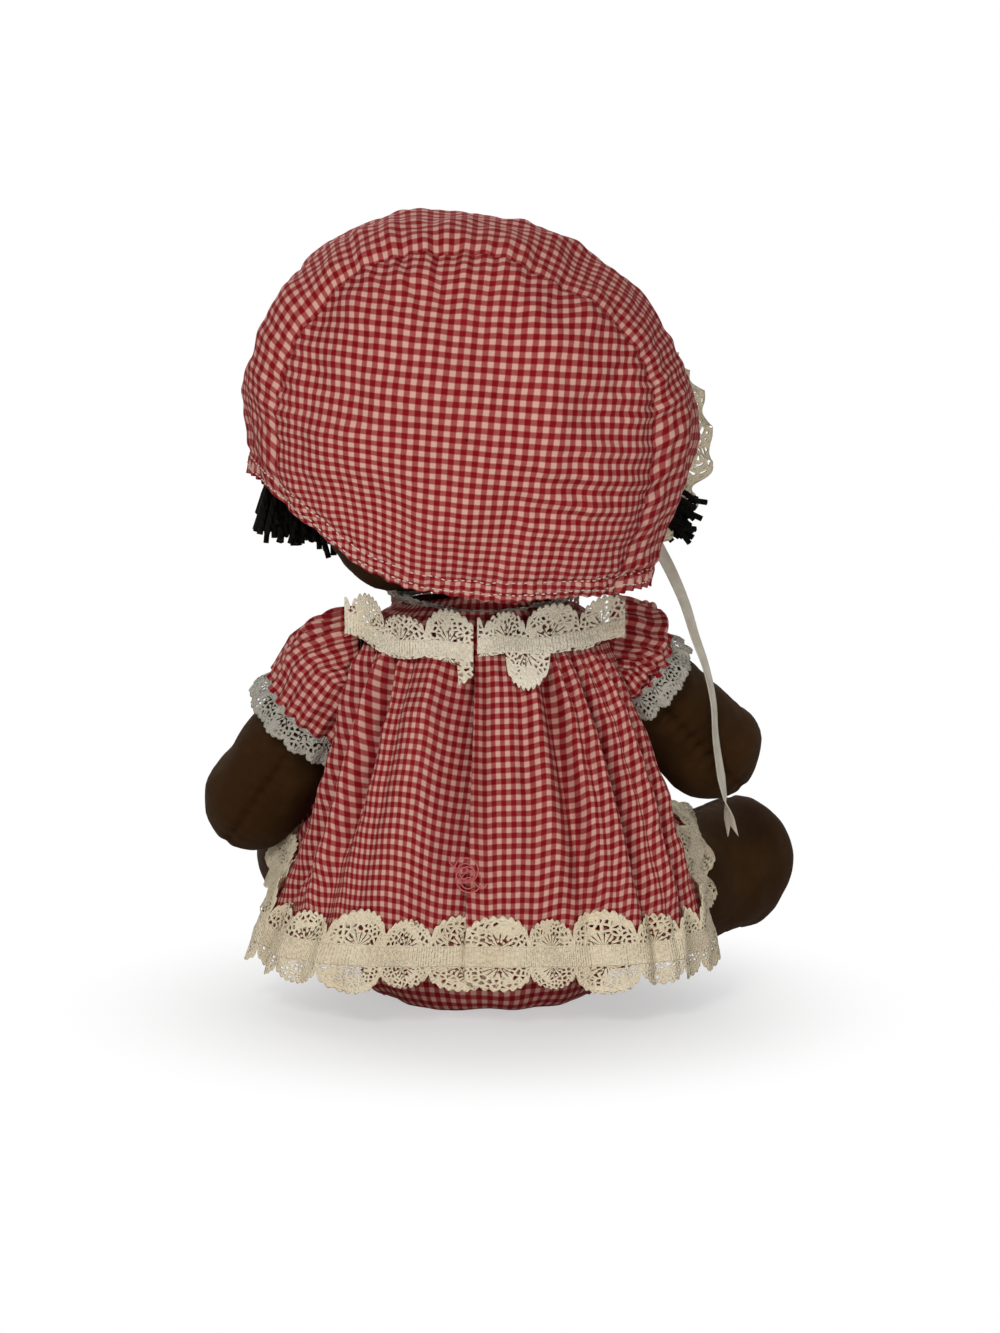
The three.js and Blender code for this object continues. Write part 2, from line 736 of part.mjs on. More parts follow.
function stitchedPatch(name, x, z, halfWidth, halfHeight, colour) {
  const { point, out } = faceAt(x, z);
  const halfDepth = featureProud + halfWidth / 2;
  const geometry = new THREE.SphereGeometry(1, 12, 8);
  geometry.scale(halfWidth, halfDepth, halfHeight);
  const centre = point.addScaledVector(out, featureProud + gap - halfDepth);
  geometry.translate(centre.x, centre.y, centre.z);
  addPiece(name, toGeometry(toSolid(geometry).subtract(headSolid(gap))), colour);
}

stitchedPatch('left_eye', eyeSpacing / 2, eyeZ, eyeHalfWidth, eyeHalfHeight, colours.black);
stitchedPatch('right_eye', -eyeSpacing / 2, eyeZ, eyeHalfWidth, eyeHalfHeight, colours.black);
stitchedPatch('nose', 0, noseZ, noseRadius, noseRadius, colours.brown);

const mouthPoints = [-1, -0.66, -0.33, 0, 0.33, 0.66, 1].map((share) => {
  const { point, out } = faceAt(share * mouthHalfWidth, mouthZ - mouthSag * (1 - share * share));
  return point.addScaledVector(out, stitchRadius + gap);
});
addPiece('mouth', cord(mouthPoints, stitchRadius, stitchRadius, 12), colours.red);

// Bonnet: a full dome cut at the hem, at the front edge and up the left cheek

function bonnetDome(grow) {
  const geometry = new THREE.SphereGeometry(1, 24, 15);
  const place = geometry.attributes.position;
  for (let i = 0; i < place.count; i += 1) {
    const y = place.getY(i);
    const z = place.getZ(i);
    place.setXYZ(
      i,
      bonnetX + place.getX(i) * (bonnetHalfWidth + grow),
      bonnetY + y * ((y > 0 ? bonnetHalfDepth : bonnetFrontReach) + grow),
      bonnetZ + z * ((z > 0 ? bonnetRise : bonnetDrop) + grow),
    );
  }
  return toSolid(geometry);
}

// Everything between two planes that lean with the bonnet's front edge, at distances behind that edge
function behindFront(near, away) {
  const edge = (z) => bonnetFrontY - bonnetFrontLean * (z - bonnetZ);
  const outline = new THREE.Shape([
    new THREE.Vector2(edge(0) + near, 0),
    new THREE.Vector2(edge(0) + away, 0),
    new THREE.Vector2(edge(far) + away, far),
    new THREE.Vector2(edge(far) + near, far),
  ]);
  return slab(outline, Y, Z);
}

const cheekX = bonnetCheekX + bonnetCheekWidth;
const cheekZ = bonnetHemZ + bonnetCheekRise;
const cheekOutline = new THREE.Shape([
  new THREE.Vector2(bonnetCheekX, bonnetHemZ),
  new THREE.Vector2(cheekX, cheekZ),
  new THREE.Vector2(far, cheekZ + bonnetLeftSlope * (far - cheekX)),
  new THREE.Vector2(far, -far),
  new THREE.Vector2(bonnetCheekX, -far),
]);

const bonnet = bonnetDome(0)
  .subtract(bonnetDome(-cloth))
  .intersect(above(bonnetHemZ))
  .subtract(slab(cheekOutline, X, Z));
const behindSeam = box(new THREE.Vector3(-far, bonnetSeamY, -far), new THREE.Vector3(far, far, far));
const beforeSeam = box(new THREE.Vector3(-far, -far, -far), new THREE.Vector3(far, bonnetSeamY - gap, far));
addPiece('bonnet_crown', toGeometry(bonnet.intersect(behindSeam)), colours.check);
const bonnetBand = bonnet.intersect(beforeSeam).intersect(behindFront(0, far));
addPiece('bonnet_band', toGeometry(bonnetBand), colours.check);
addPiece('bonnet_lace', toGeometry(bonnet.intersect(behindFront(-bonnetLace, -gap))), colours.cream);

const hair = bonnetDome(-cloth - gap)
  .subtract(headSolid(gap))
  .intersect(behindFront(-hairPeek, hairBehind))
  .intersect(above(hairLowZ));
addPiece('hair_fringe', toGeometry(hair.intersect(above(hairPartZ + gap))), colours.black);
addPiece('hair_left', toGeometry(hair.intersect(below(hairPartZ)).intersect(leftOf(headX))), colours.black);
addPiece('hair_right', toGeometry(hair.intersect(below(hairPartZ)).intersect(rightOf(headX))), colours.black);

// The two free ends of the bonnet's ribbon

function ribbon(name, points) {
  const route = points.map(([x, y, rise]) => new THREE.Vector3(x, y, bonnetHemZ + rise));
  addPiece(name, cord(route, ribbonWidth / 2, ribbonThickness / 2, 16), colours.satin, 0.5);
}

ribbon('right_ribbon', rightRibbonPoints);
ribbon('left_ribbon', leftRibbonPoints);

export default doll;
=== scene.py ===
# %% [markdown]
# # A seated rag doll, sewn in Blender
# The doll on the table is made of stuffed cotton limbs, a checked dress with lace and a big puffed bonnet.
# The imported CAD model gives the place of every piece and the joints. This lesson replaces each plain solid by
# a sewn one, in the same frame: metres, Z up, the doll faces -Y and its left hand is at +X.

import math

import bpy
import numpy as np
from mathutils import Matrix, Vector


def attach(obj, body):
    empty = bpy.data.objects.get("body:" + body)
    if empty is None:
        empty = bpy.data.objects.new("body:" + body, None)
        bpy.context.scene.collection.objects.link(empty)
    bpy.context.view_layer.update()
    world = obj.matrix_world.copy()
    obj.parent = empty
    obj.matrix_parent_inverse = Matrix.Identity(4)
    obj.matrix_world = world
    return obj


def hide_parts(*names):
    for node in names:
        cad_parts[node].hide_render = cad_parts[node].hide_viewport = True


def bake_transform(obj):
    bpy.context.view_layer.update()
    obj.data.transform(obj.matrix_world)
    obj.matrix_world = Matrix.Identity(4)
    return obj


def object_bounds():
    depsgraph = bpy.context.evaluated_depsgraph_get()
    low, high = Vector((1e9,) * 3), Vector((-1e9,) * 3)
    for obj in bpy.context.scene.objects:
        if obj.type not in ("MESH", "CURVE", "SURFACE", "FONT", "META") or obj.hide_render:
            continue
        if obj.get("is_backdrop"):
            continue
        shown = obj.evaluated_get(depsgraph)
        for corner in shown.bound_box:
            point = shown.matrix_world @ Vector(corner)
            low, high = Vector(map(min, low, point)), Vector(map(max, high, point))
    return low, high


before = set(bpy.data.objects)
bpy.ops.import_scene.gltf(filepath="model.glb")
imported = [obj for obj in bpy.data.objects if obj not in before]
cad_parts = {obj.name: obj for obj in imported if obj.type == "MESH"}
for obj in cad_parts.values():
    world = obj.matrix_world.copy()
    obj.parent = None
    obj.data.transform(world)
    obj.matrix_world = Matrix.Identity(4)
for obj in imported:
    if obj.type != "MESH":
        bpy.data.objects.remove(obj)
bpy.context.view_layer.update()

# %% [markdown]
# Sewing patterns are drawn in millimetres, so the helpers below take millimetres and scale once, when the
# mesh is made. Every cloth piece is a grid of points: rows and columns follow the cloth, and the flat cloth
# is kept as a UV map in metres, so that the check runs over gathers as printed cloth does.

# %% Grids to meshes
MM = 0.001


def grid_quads(rows, columns, wraps):
    """The four corners of each cell of a grid, which may close on itself across its columns"""
    across = columns if wraps else columns - 1
    r, c = np.meshgrid(np.arange(rows - 1), np.arange(across), indexing="ij")
    n = (c + 1) % columns
    corners = [r * columns + c, (r + 1) * columns + c, (r + 1) * columns + n, r * columns + n]
    return np.stack(corners, axis=-1).reshape(-1, 4)


def grid_uv(uv):
    """The flat coordinates of each cell's four corners"""
    corners = [uv[:-1, :-1], uv[1:, :-1], uv[1:, 1:], uv[:-1, 1:]]
    return np.stack(corners, axis=2).reshape(-1, 4, 2)


def mesh_object(name, points, faces, material, uv=None):
    """A mesh from points in millimetres, faces of one kind and the flat coordinates of their corners"""
    mesh = bpy.data.meshes.new(name)
    faces = np.asarray(faces)
    mesh.vertices.add(len(points))
    mesh.vertices.foreach_set("co", (np.asarray(points, float) * MM).ravel())
    mesh.loops.add(faces.size)
    mesh.loops.foreach_set("vertex_index", faces.ravel())
    mesh.polygons.add(len(faces))
    mesh.polygons.foreach_set("loop_start", np.arange(0, faces.size, faces.shape[1]))
    mesh.polygons.foreach_set("use_smooth", np.ones(len(faces), bool))
    if uv is not None:
        mesh.uv_layers.new(name="cloth").data.foreach_set("uv", (np.asarray(uv, float) * MM).ravel())
    mesh.materials.append(material)
    mesh.update(calc_edges=True)
    mesh.validate()
    piece = bpy.data.objects.new(name, mesh)
    bpy.context.scene.collection.objects.link(piece)
    return piece


print("a grid of 3 by 4 points has", len(grid_quads(3, 4, False)), "cells")


# %% Sheets of cloth
def step_along(grid, axis, wraps=False):
    """How the points of a grid change along its rows or columns"""
    if wraps:
        return np.roll(grid, -1, axis) - np.roll(grid, 1, axis)
    return np.gradient(grid, axis=axis)


def outward(grid, middle, wraps=False):
    """Unit normals of a grid, on the side away from a middle point"""
    normal = np.cross(step_along(grid, 1, wraps), step_along(grid, 0))
    normal /= np.linalg.norm(normal, axis=-1, keepdims=True) + 1e-9
    if ((grid - np.asarray(middle)) * normal).sum() < 0:
        normal = -normal
    return normal


def sewn_sheet(name, grid, uv, material, middle, thick=0.6, wraps=False):
    """A cloth piece of real thickness from a grid, facing away from a middle point"""
    rows, columns = grid.shape[:2]
    quads = grid_quads(rows, columns, wraps)
    corners = grid_uv(uv)
    flat = grid.reshape(-1, 3)
    a, b, c = flat[quads[:, 0]], flat[quads[:, 1]], flat[quads[:, 2]]
    facing = (np.cross(b - a, c - a) * (a - np.asarray(middle))).sum()
    if facing < 0:
        quads, corners = quads[:, ::-1], corners[:, ::-1]
    piece = mesh_object(name, flat, quads, material, corners)
    wall = piece.modifiers.new("cloth thickness", "SOLIDIFY")
    wall.thickness, wall.offset = thick * MM, -1
    print(name, len(quads), "cells")
    return piece


level_grid = np.stack([*np.meshgrid(np.arange(4.0), np.arange(3.0)), np.zeros((3, 4))], -1)
print("a level grid faces", outward(level_grid, (0, 0, -1))[0, 0].round(3))

# %% [markdown]
# Cloth is never quite regular. The wrinkles come from one seeded noise: a sum of plane waves in space, which
# has no seam where a tube of cloth closes. Routes between given points are smooth splines.

# %% Noise and splines
def ripple(points, size, seed, stretch=(1, 1, 1), waves=18):
    """Smooth noise of about -1 to 1 at points, with bumps of about one size"""
    rng = np.random.default_rng(seed)
    place = np.asarray(points) / np.asarray(stretch)
    total = np.zeros(place.shape[:-1])
    for _ in range(waves):
        way = rng.normal(size=3)
        way *= 2 * math.pi / (size * rng.uniform(0.7, 1.5) * np.linalg.norm(way))
        total += np.cos(place @ way + rng.uniform(0, 2 * math.pi))
    return total / math.sqrt(waves / 2) / 1.6


def smooth(low, high, value):
    """0 below low, 1 above high, and a soft step between"""
    share = np.clip((np.asarray(value, float) - low) / (high - low), 0, 1)
    return share * share * (3 - 2 * share)


def between(before, first, second, after, share):
    """A smooth curve from one point to a second, led by the points before and after them"""
    bend = 2 * before - 5 * first + 4 * second - after
    twist = 3 * first - before - 3 * second + after
    return 0.5 * (2 * first + (second - before) * share + bend * share**2 + twist * share**3)


def run_along(points):
    """How far along a line each of its points is"""
    return np.concatenate([[0], np.cumsum(np.linalg.norm(np.diff(points, axis=0), axis=-1))])


def run_length(points):
    return np.linalg.norm(np.diff(points, axis=0), axis=1).sum()


def spline(points, count):
    """Points spread evenly along a smooth curve through given points"""
    points = np.asarray(points, float)
    first, last = 2 * points[:1] - points[1:2], 2 * points[-1:] - points[-2:-1]
    padded = np.concatenate([first, points, last])
    spans = len(points) - 1
    t = np.linspace(0, spans, spans * 40 + 1)
    i = np.minimum(t.astype(int), spans - 1)
    fine = between(padded[i], padded[i + 1], padded[i + 2], padded[i + 3], (t - i)[:, None])
    run = run_along(fine)
    at = np.linspace(0, run[-1], count)
    return np.stack([np.interp(at, run, fine[:, k]) for k in range(fine.shape[1])], axis=-1)


bend_length = run_length(spline([(0, 0, 0), (1, 1, 0), (2, 0, 0)], 50))
print("a bend through three points is", round(bend_length, 3), "long")

# %% [markdown]
# ## Writing shaders as sums
# Blender's shader editor is a web of Math nodes. Here one small class wraps a socket and gives it the usual
# operators, so a pattern can be written as a formula, and one method makes any other node.

# %% Shader sums
class Line:
    """A socket of a material's node tree that can be added, multiplied and divided"""

    def __init__(self, tree, socket):
        self.tree, self.socket = tree, socket

    def node(self, kind, settings=None, output=0, **values):
        """Makes a node. A socket is named by its name, or by an underscore and its number"""
        made = self.tree.nodes.new(kind)
        for name, value in (settings or {}).items():
            setattr(made, name, value)
        for name, value in values.items():
            key = int(name[1:]) if name[0] == "_" else name.replace("_", " ")
            if isinstance(value, Line):
                self.tree.links.new(value.socket, made.inputs[key])
            else:
                made.inputs[key].default_value = value
        return Line(self.tree, made.outputs[output])

    def maths(self, operation, first, second=0.0):
        return self.node("ShaderNodeMath", {"operation": operation}, _0=first, _1=second)

    def __add__(self, other):
        return self.maths("ADD", self, other)

    __radd__ = __add__

    def __sub__(self, other):
        return self.maths("SUBTRACT", self, other)

    def __rsub__(self, other):
        return self.maths("SUBTRACT", other, self)

    def __mul__(self, other):
        return self.maths("MULTIPLY", self, other)

    __rmul__ = __mul__

    def __truediv__(self, other):
        return self.maths("DIVIDE", self, other)

    def part(self):
        return self.maths("FRACT", self)

    def sine(self):
        return self.maths("SINE", self)

    def size(self):
        return self.maths("ABSOLUTE", self)

    def root(self):
        return self.maths("SQRT", self)

    def upper(self, other):
        return self.maths("MAXIMUM", self, other)

    def lower(self, other):
        return self.maths("MINIMUM", self, other)

    def ramp(self, low, high):
        """0 below low, 1 above high, smooth between"""
        return self.node("ShaderNodeMapRange", {"interpolation_type": "SMOOTHSTEP"}, _0=self, _1=low, _2=high)

    def mix(self, first, second):
        """A colour between two colours, by this value"""
        return self.node("ShaderNodeMix", {"data_type": "RGBA"}, output=2, _0=self, _6=first, _7=second)


# %% Materials from sums
def finish_shader(name, make, roughness=0.9, sheen=0.0, specular=0.3):
    """A Principled material. The make function gets the shader's start and returns its varying sockets."""
    material = bpy.data.materials.new(name)
    material.use_nodes = True
    tree = material.node_tree
    shader = tree.nodes["Principled BSDF"]
    shader.inputs["Roughness"].default_value = roughness
    shader.inputs["Specular IOR Level"].default_value = specular
    shader.inputs["Sheen Weight"].default_value = sheen
    for socket, line in make(Line(tree, None)).items():
        tree.links.new(line.socket, shader.inputs[socket])
    print("finish", name, len(tree.nodes), "nodes")
    return material


def flat_cloth(start):
    """The two coordinates of the flat cloth, in millimetres"""
    uv = start.node("ShaderNodeUVMap", {"uv_map": "cloth"})
    return [start.node("ShaderNodeSeparateXYZ", output=k, _0=uv) * 1000 for k in (0, 1)]


def in_space(start, scale, detail=2.0, rough=0.5):
    """Noise of 0 to 1 over the object's own coordinates, in bumps per metre"""
    place = start.node("ShaderNodeTexCoord", output=3)
    return start.node("ShaderNodeTexNoise", Vector=place, Scale=scale, Detail=detail, Roughness=rough)


def bumped(start, height, distance, strength=1.0):
    return start.node("ShaderNodeBump", Height=height, Distance=distance, Strength=strength)


# %% [markdown]
# ## Gingham
# Gingham is woven, not printed: dyed and undyed yarns alternate every 2.15 mm in both directions. Where dyed
# crosses dyed the square is crimson, where undyed crosses undyed it is cream, and the rest is half and half,
# yarn by yarn. The shader follows the loom: each crossing shows the warp or the weft yarn.

# %% Gingham
CHECK = 4.3
YARN = CHECK / 16
CRIMSON = (0.215, 0.002, 0.007, 1)
HALF = (0.370, 0.062, 0.056, 1)
CREAM = (0.700, 0.400, 0.325, 1)
FADED = (0.300, 0.010, 0.018, 1)


def gingham(start):
    u, v = flat_cloth(start)
    sway = (in_space(start, 26, 1) - 0.5) * 1.1
    u, v = u + sway, v + (in_space(start, 31, 1) - 0.5) * 1.1
    edge = 0.06
    warp = ((u / CHECK).part() - 0.5).size().ramp(0.25 - edge, 0.25 + edge)
    weft = ((v / CHECK).part() - 0.5).size().ramp(0.25 - edge, 0.25 + edge)
    over = (u * (math.pi / YARN)).sine() * (v * (math.pi / YARN)).sine()
    pick = over.ramp(-0.25, 0.25)
    dyed = (warp * pick + weft * (1 - pick)) * 0.15 + (warp + weft) * 0.425
    slub = in_space(start, 900, 2)
    worn = in_space(start, 60, 3).ramp(0.35, 0.8)
    red = (worn * 0.5).mix(CRIMSON, FADED)
    shade = ((slub - 0.5) * 0.15 + dyed) * 2
    colour = shade.lower(1.0).upper(0.0).mix(CREAM, HALF)
    colour = (shade - 1).lower(1.0).upper(0.0).mix(colour, red)
    height = over * 0.5 + slub * 0.6
    return {"Base Color": colour, "Normal": bumped(start, height, 0.00012, 0.55)}


gingham_cloth = finish_shader("gingham_cloth", gingham, specular=0.15)

# %% [markdown]
# ## Brown cotton
# The limbs are plain-woven brown cotton, tight over the stuffing. The weave is fine, the dye has faded a
# little where hands have held it, and lint lies on it here and there.

# %% Brown cotton
BROWN = (0.036, 0.0140, 0.0024, 1)
BROWN_WORN = (0.060, 0.0270, 0.0065, 1)
LINT = (0.12, 0.080, 0.045, 1)


def brown_cotton(start):
    u, v = flat_cloth(start)
    weave = (u * (2 * math.pi / 0.5)).sine() * (v * (2 * math.pi / 0.5)).sine()
    worn = in_space(start, 45, 4, 0.6).ramp(0.45, 0.75)
    slub = in_space(start, 700, 2)
    lint = in_space(start, 420, 3, 0.7).ramp(0.70, 0.80)
    colour = (worn * 0.75 + slub * 0.25).mix(BROWN, BROWN_WORN)
    colour = (lint * 0.25).mix(colour, LINT)
    height = weave * 0.5 + slub * 0.9
    return {"Base Color": colour, "Normal": bumped(start, height, 0.00022, 0.8)}


brown_skin = finish_shader("brown_skin", brown_cotton, specular=0.12)

# %% [markdown]
# ## Lace
# Lace is thread and air. The scalloped outline of each strip is cut in the mesh, and the small holes come
# from the material's Alpha: each scallop is a fan with slits near its base and an uneven net further out,
# inside a corded rim. Along the middle of a galloon runs a plain woven band, where the flat cloth's second
# coordinate is 0.

# %% Lace
def lace_pattern(start, period, band, fan, rays, cell):
    """How much thread there is at each point, and how proud it stands, for one width of lace"""
    u, v = flat_cloth(start)
    along = ((u / period).part() - 0.5) * period
    across = v.size() - band
    far = (along * along + across * across).root()
    turn = start.maths("ARCTAN2", across, along)
    spot = start.node("ShaderNodeCombineXYZ", X=u / cell, Y=v / cell)
    edge = start.node("ShaderNodeTexVoronoi", {"voronoi_dimensions": "2D", "feature": "DISTANCE_TO_EDGE"},
                      Vector=spot, Scale=1.0)
    closed = in_space(start, 190, 1).ramp(0.52, 0.60)
    net = edge.ramp(0.20, 0.29) * across.ramp(0.3, 0.9) * (1 - closed * 0.85)
    near_base = 1 - far.ramp(0.42 * fan, 0.55 * fan)
    slits = (turn * rays).sine().ramp(0.60, 0.90) * across.ramp(0.5, 0.9) * near_base
    holes = net.upper(slits) * (fan - far).ramp(0.5, 1.2)
    solid = 1 - across.ramp(0.0, 0.35)
    rib = (u * (2 * math.pi / 1.1)).sine() * 0.5 + 0.5
    proud = (1 - holes) * (edge.ramp(0.0, 0.3) * 0.5 + 0.5) + solid * (rib * 0.5 + 0.3)
    return 1 - holes, proud


def lace_finish(period, band, fan, rays, cell, light, dark):
    """A lace from its sizes in millimetres: rays is how many slits a fan has, and cell is the net's mesh"""
    def make(start):
        thread, proud = lace_pattern(start, period, band, fan, rays, cell)
        aged = in_space(start, 55, 3).ramp(0.3, 0.8)
        slub = in_space(start, 1500, 2)
        colour = (aged * 0.6 + slub * 0.4).mix(light, dark)
        height = proud + slub * 0.4
        return {"Base Color": colour, "Alpha": thread, "Normal": bumped(start, height, 0.0006, 1.0)}
    return make


CREAM_LIGHT, CREAM_DARK = (0.97, 0.85, 0.63, 1), (0.76, 0.62, 0.415, 1)
# The yoke's narrow galloon is paler than the hem's: partly its own paler cream, and partly painted light that
# lifts it out of the shade under the bonnet.
PALE_LIGHT, PALE_DARK = (0.97, 0.89, 0.72, 1), (0.80, 0.68, 0.49, 1)
WHITE_LIGHT, WHITE_DARK = (0.60, 0.57, 0.49, 1), (0.36, 0.33, 0.27, 1)
HEM_SCALLOP, HEM_BAND, HEM_FAN = 24.0, 4.2, 12.0
YOKE_SCALLOP, YOKE_BAND, YOKE_FAN = 19.0, 2.6, 11.5
TRIM_SCALLOP, TRIM_BAND, TRIM_FAN = 11.0, 2.0, 8.5
EDGE_SCALLOP, EDGE_BAND, EDGE_FAN = 8.5, 2.0, 9.0
wide_pattern = lace_finish(
    HEM_SCALLOP, HEM_BAND, HEM_FAN, rays=16, cell=2.2, light=CREAM_LIGHT, dark=CREAM_DARK)
narrow_pattern = lace_finish(
    YOKE_SCALLOP, YOKE_BAND, YOKE_FAN, rays=13, cell=2.1, light=PALE_LIGHT, dark=PALE_DARK)
trim_pattern = lace_finish(
    TRIM_SCALLOP, TRIM_BAND, TRIM_FAN, rays=10, cell=2.0, light=WHITE_LIGHT, dark=WHITE_DARK)
edge_pattern = lace_finish(
    EDGE_SCALLOP, EDGE_BAND, EDGE_FAN, rays=9, cell=2.1, light=CREAM_LIGHT, dark=CREAM_DARK)
galloon = finish_shader("galloon_lace", wide_pattern, specular=0.2)
narrow_galloon = finish_shader("narrow_galloon_lace", narrow_pattern, specular=0.2)
white_lace = finish_shader("white_floral_lace", trim_pattern, specular=0.2)
edge_lace = finish_shader("edge_lace", edge_pattern, specular=0.2)

# %% [markdown]
# ## Ribbon, yarn and thread
# The ribbon is satin: long floats along its length give it a soft gloss. The yarn of the hair is two plies
# twisted together, which shows as slanting ridges. Sewing thread is so fine that a little fuzz is enough.

# %% Ribbon, yarn and thread
def satin(start):
    u, v = flat_cloth(start)
    floats = (u * (2 * math.pi / 0.22)).sine()
    ribs = (v * (2 * math.pi / 0.6)).sine()
    aged = in_space(start, 120, 3).ramp(0.3, 0.75)
    colour = aged.mix((0.66, 0.61, 0.50, 1), (0.50, 0.44, 0.33, 1))
    roughness = floats * 0.05 + (in_space(start, 500, 2) * 0.2 + 0.33)
    return {"Base Color": colour, "Roughness": roughness,
            "Normal": bumped(start, floats + ribs * 0.4, 0.00005, 0.5)}


def twisted(low, high, turns):
    """Thread or yarn with slanting plies, from the attributes that the strand maker stores"""
    def make(start):
        along = start.node("ShaderNodeAttribute", {"attribute_name": "along"}, output=2)
        around = start.node("ShaderNodeAttribute", {"attribute_name": "around"}, output=2)
        ply = (around * (4 * math.pi) + along * (1000 * 2 * math.pi / turns)).sine()
        fuzz = in_space(start, 1800, 3)
        # The (ply + 1) term paints the crest of each ply lighter and the groove between plies darker: painted
        # highlight and painted shade. The fuzz term is the yarn's own uneven tone.
        colour = (fuzz * 0.6 + (ply + 1) * 0.2).mix(low, high)
        return {"Base Color": colour, "Normal": bumped(start, ply + fuzz, 0.0003, 0.9)}
    return make


def plain_thread(low, high):
    def make(start):
        fuzz = in_space(start, 2500, 2)
        return {"Base Color": fuzz.mix(low, high), "Normal": bumped(start, fuzz, 0.0001, 0.6)}
    return make


satin_ribbon = finish_shader("satin_ribbon", satin, roughness=0.4, sheen=0.1, specular=0.45)
black_yarn = finish_shader("black_yarn", twisted((0.003, 0.003, 0.002, 1), (0.012, 0.010, 0.009, 1), 4.0),
                           specular=0.08)
pale_thread = finish_shader("pale_thread", plain_thread((0.62, 0.50, 0.42, 1), (0.80, 0.70, 0.62, 1)))
pink_thread = finish_shader("pink_thread", plain_thread((0.48, 0.05, 0.06, 1), (0.74, 0.24, 0.22, 1)))
red_thread = finish_shader("red_thread", plain_thread((0.20, 0.010, 0.016, 1), (0.42, 0.05, 0.06, 1)),
                           specular=0.5)
black_thread = finish_shader("black_thread", plain_thread((0.003, 0.003, 0.003, 1), (0.009, 0.008, 0.008, 1)),
                             specular=0.08)
brown_thread = finish_shader("brown_thread", plain_thread((0.020, 0.010, 0.005, 1), (0.06, 0.033, 0.018, 1)))
elastic_band = finish_shader("elastic_band", plain_thread((0.55, 0.54, 0.50, 1), (0.72, 0.71, 0.67, 1)))

# %% [markdown]
# ## Camera, floor and light
# The doll was photographed from behind, from a little above. The lens and the distance are worked out for a
# picture of 1000 by 1333 in which 0.4 mm of the doll is one pixel.

# %% Camera
PIXEL = 0.4
PICTURE_HEIGHT = 1333 * PIXEL
DISTANCE = 2600.0
LOOK_AT = np.array([-6.0, -25.0, 133.6])
ELEVATION = math.radians(10)

lens = bpy.data.cameras.new("photo_camera")
lens.sensor_width = 36
lens.lens = lens.sensor_width / 2 / (PICTURE_HEIGHT / 2 / DISTANCE)
camera = bpy.data.objects.new("photo_camera", lens)
bpy.context.scene.collection.objects.link(camera)
back_off = np.array([0, math.cos(ELEVATION), math.sin(ELEVATION)]) * DISTANCE
camera.location = (LOOK_AT + back_off) * MM
camera.rotation_euler = (math.pi / 2 - ELEVATION, 0, math.pi)
bpy.context.scene.camera = camera
bpy.context.scene.view_settings.view_transform = "Standard"
print("lens", round(lens.lens, 1), "mm")

# %% [markdown]
# The floor is one wide flat sheet. Near the doll its paint takes the soft shadow, and further away it melts
# into a white background. Three broad lamps light the doll: the key high at the picture's left, a weaker fill
# low at its right, and one on the far side for the face. They are large, so the folds have soft shadows.

# %% Floor
def floor_finish(start):
    tone = in_space(start, 3, 2)
    return {"Base Color": tone.mix((0.86, 0.855, 0.845, 1), (0.89, 0.885, 0.875, 1))}


def seen_rays(tree):
    """1 for rays from the camera, and for gloss and glass that show the background too"""
    rays = Line(tree, tree.nodes.new("ShaderNodeLightPath").outputs["Is Camera Ray"])
    path = rays.socket.node.outputs
    return rays.upper(Line(tree, path["Is Glossy Ray"])).upper(Line(tree, path["Is Transmission Ray"]))


floor_paint = finish_shader("pale_floor", floor_finish, roughness=0.95, specular=0.1)
tree = floor_paint.node_tree
place = Line(tree, None).node("ShaderNodeTexCoord", output=3)
away = Line(tree, None).node("ShaderNodeVectorMath", {"operation": "LENGTH"}, output=1, _0=place)
white = Line(tree, None).node("ShaderNodeEmission", Color=(1, 1, 1, 1), Strength=1.0)
paint = Line(tree, tree.nodes["Principled BSDF"].outputs[0])
clear = (away.ramp(0.05, 0.18) * 0.5 + 0.5) * seen_rays(tree)
mixed = clear.node("ShaderNodeMixShader", _0=clear, _1=paint, _2=white)
tree.links.new(mixed.socket, tree.nodes["Material Output"].inputs["Surface"])
FLOOR_HALF, FLOOR_Z = 6000.0, -0.05
floor_corners = [(x, y, FLOOR_Z) for y in (-FLOOR_HALF, FLOOR_HALF) for x in (-FLOOR_HALF, FLOOR_HALF)]
floor = mesh_object("floor", floor_corners, [[0, 1, 3, 2]], floor_paint)
floor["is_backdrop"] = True
print("floor is", 2 * FLOOR_HALF * MM, "m wide")


# %% Lamps and sky
def lamp(name, place, size, power, aim=(0, -25, 130)):
    light = bpy.data.lights.new(name, "AREA")
    light.shape, light.size, light.energy = "DISK", size * MM, power
    holder = bpy.data.objects.new(name, light)
    bpy.context.scene.collection.objects.link(holder)
    holder.location = np.array(place) * MM
    way = np.array(aim, float) - np.array(place, float)
    tilt = math.atan2(math.hypot(way[0], way[1]), -way[2])
    holder.rotation_euler = (tilt, 0, math.atan2(-way[0], way[1]))
    print("lamp", name, power, "W")


lamp("key", (300, 1040, 820), 420, 6.6)
lamp("fill", (-420, 1250, 260), 450, 2.6)
lamp("front", (300, -1100, 900), 900, 7)

sky = bpy.data.worlds.new("studio_sky")
sky.use_nodes = True
SKY_LIGHT = 0.23
tree = sky.node_tree
light = seen_rays(tree)
tree.links.new((light * (1 - SKY_LIGHT) + SKY_LIGHT).socket, tree.nodes["Background"].inputs["Strength"])
tree.nodes["Background"].inputs["Color"].default_value = (1, 1, 1, 1)
bpy.context.scene.world = sky

# %% [markdown]
# ## Strands and stitches with Geometry Nodes
# Thread, yarn and stitches repeat along lines, which is what Geometry Nodes are good at. One tree turns
# poly-lines into round strands and stores how far along and around each point is, for the twist in the
# shader. The other lays a short stitch at even steps along each line. Both end as plain meshes.

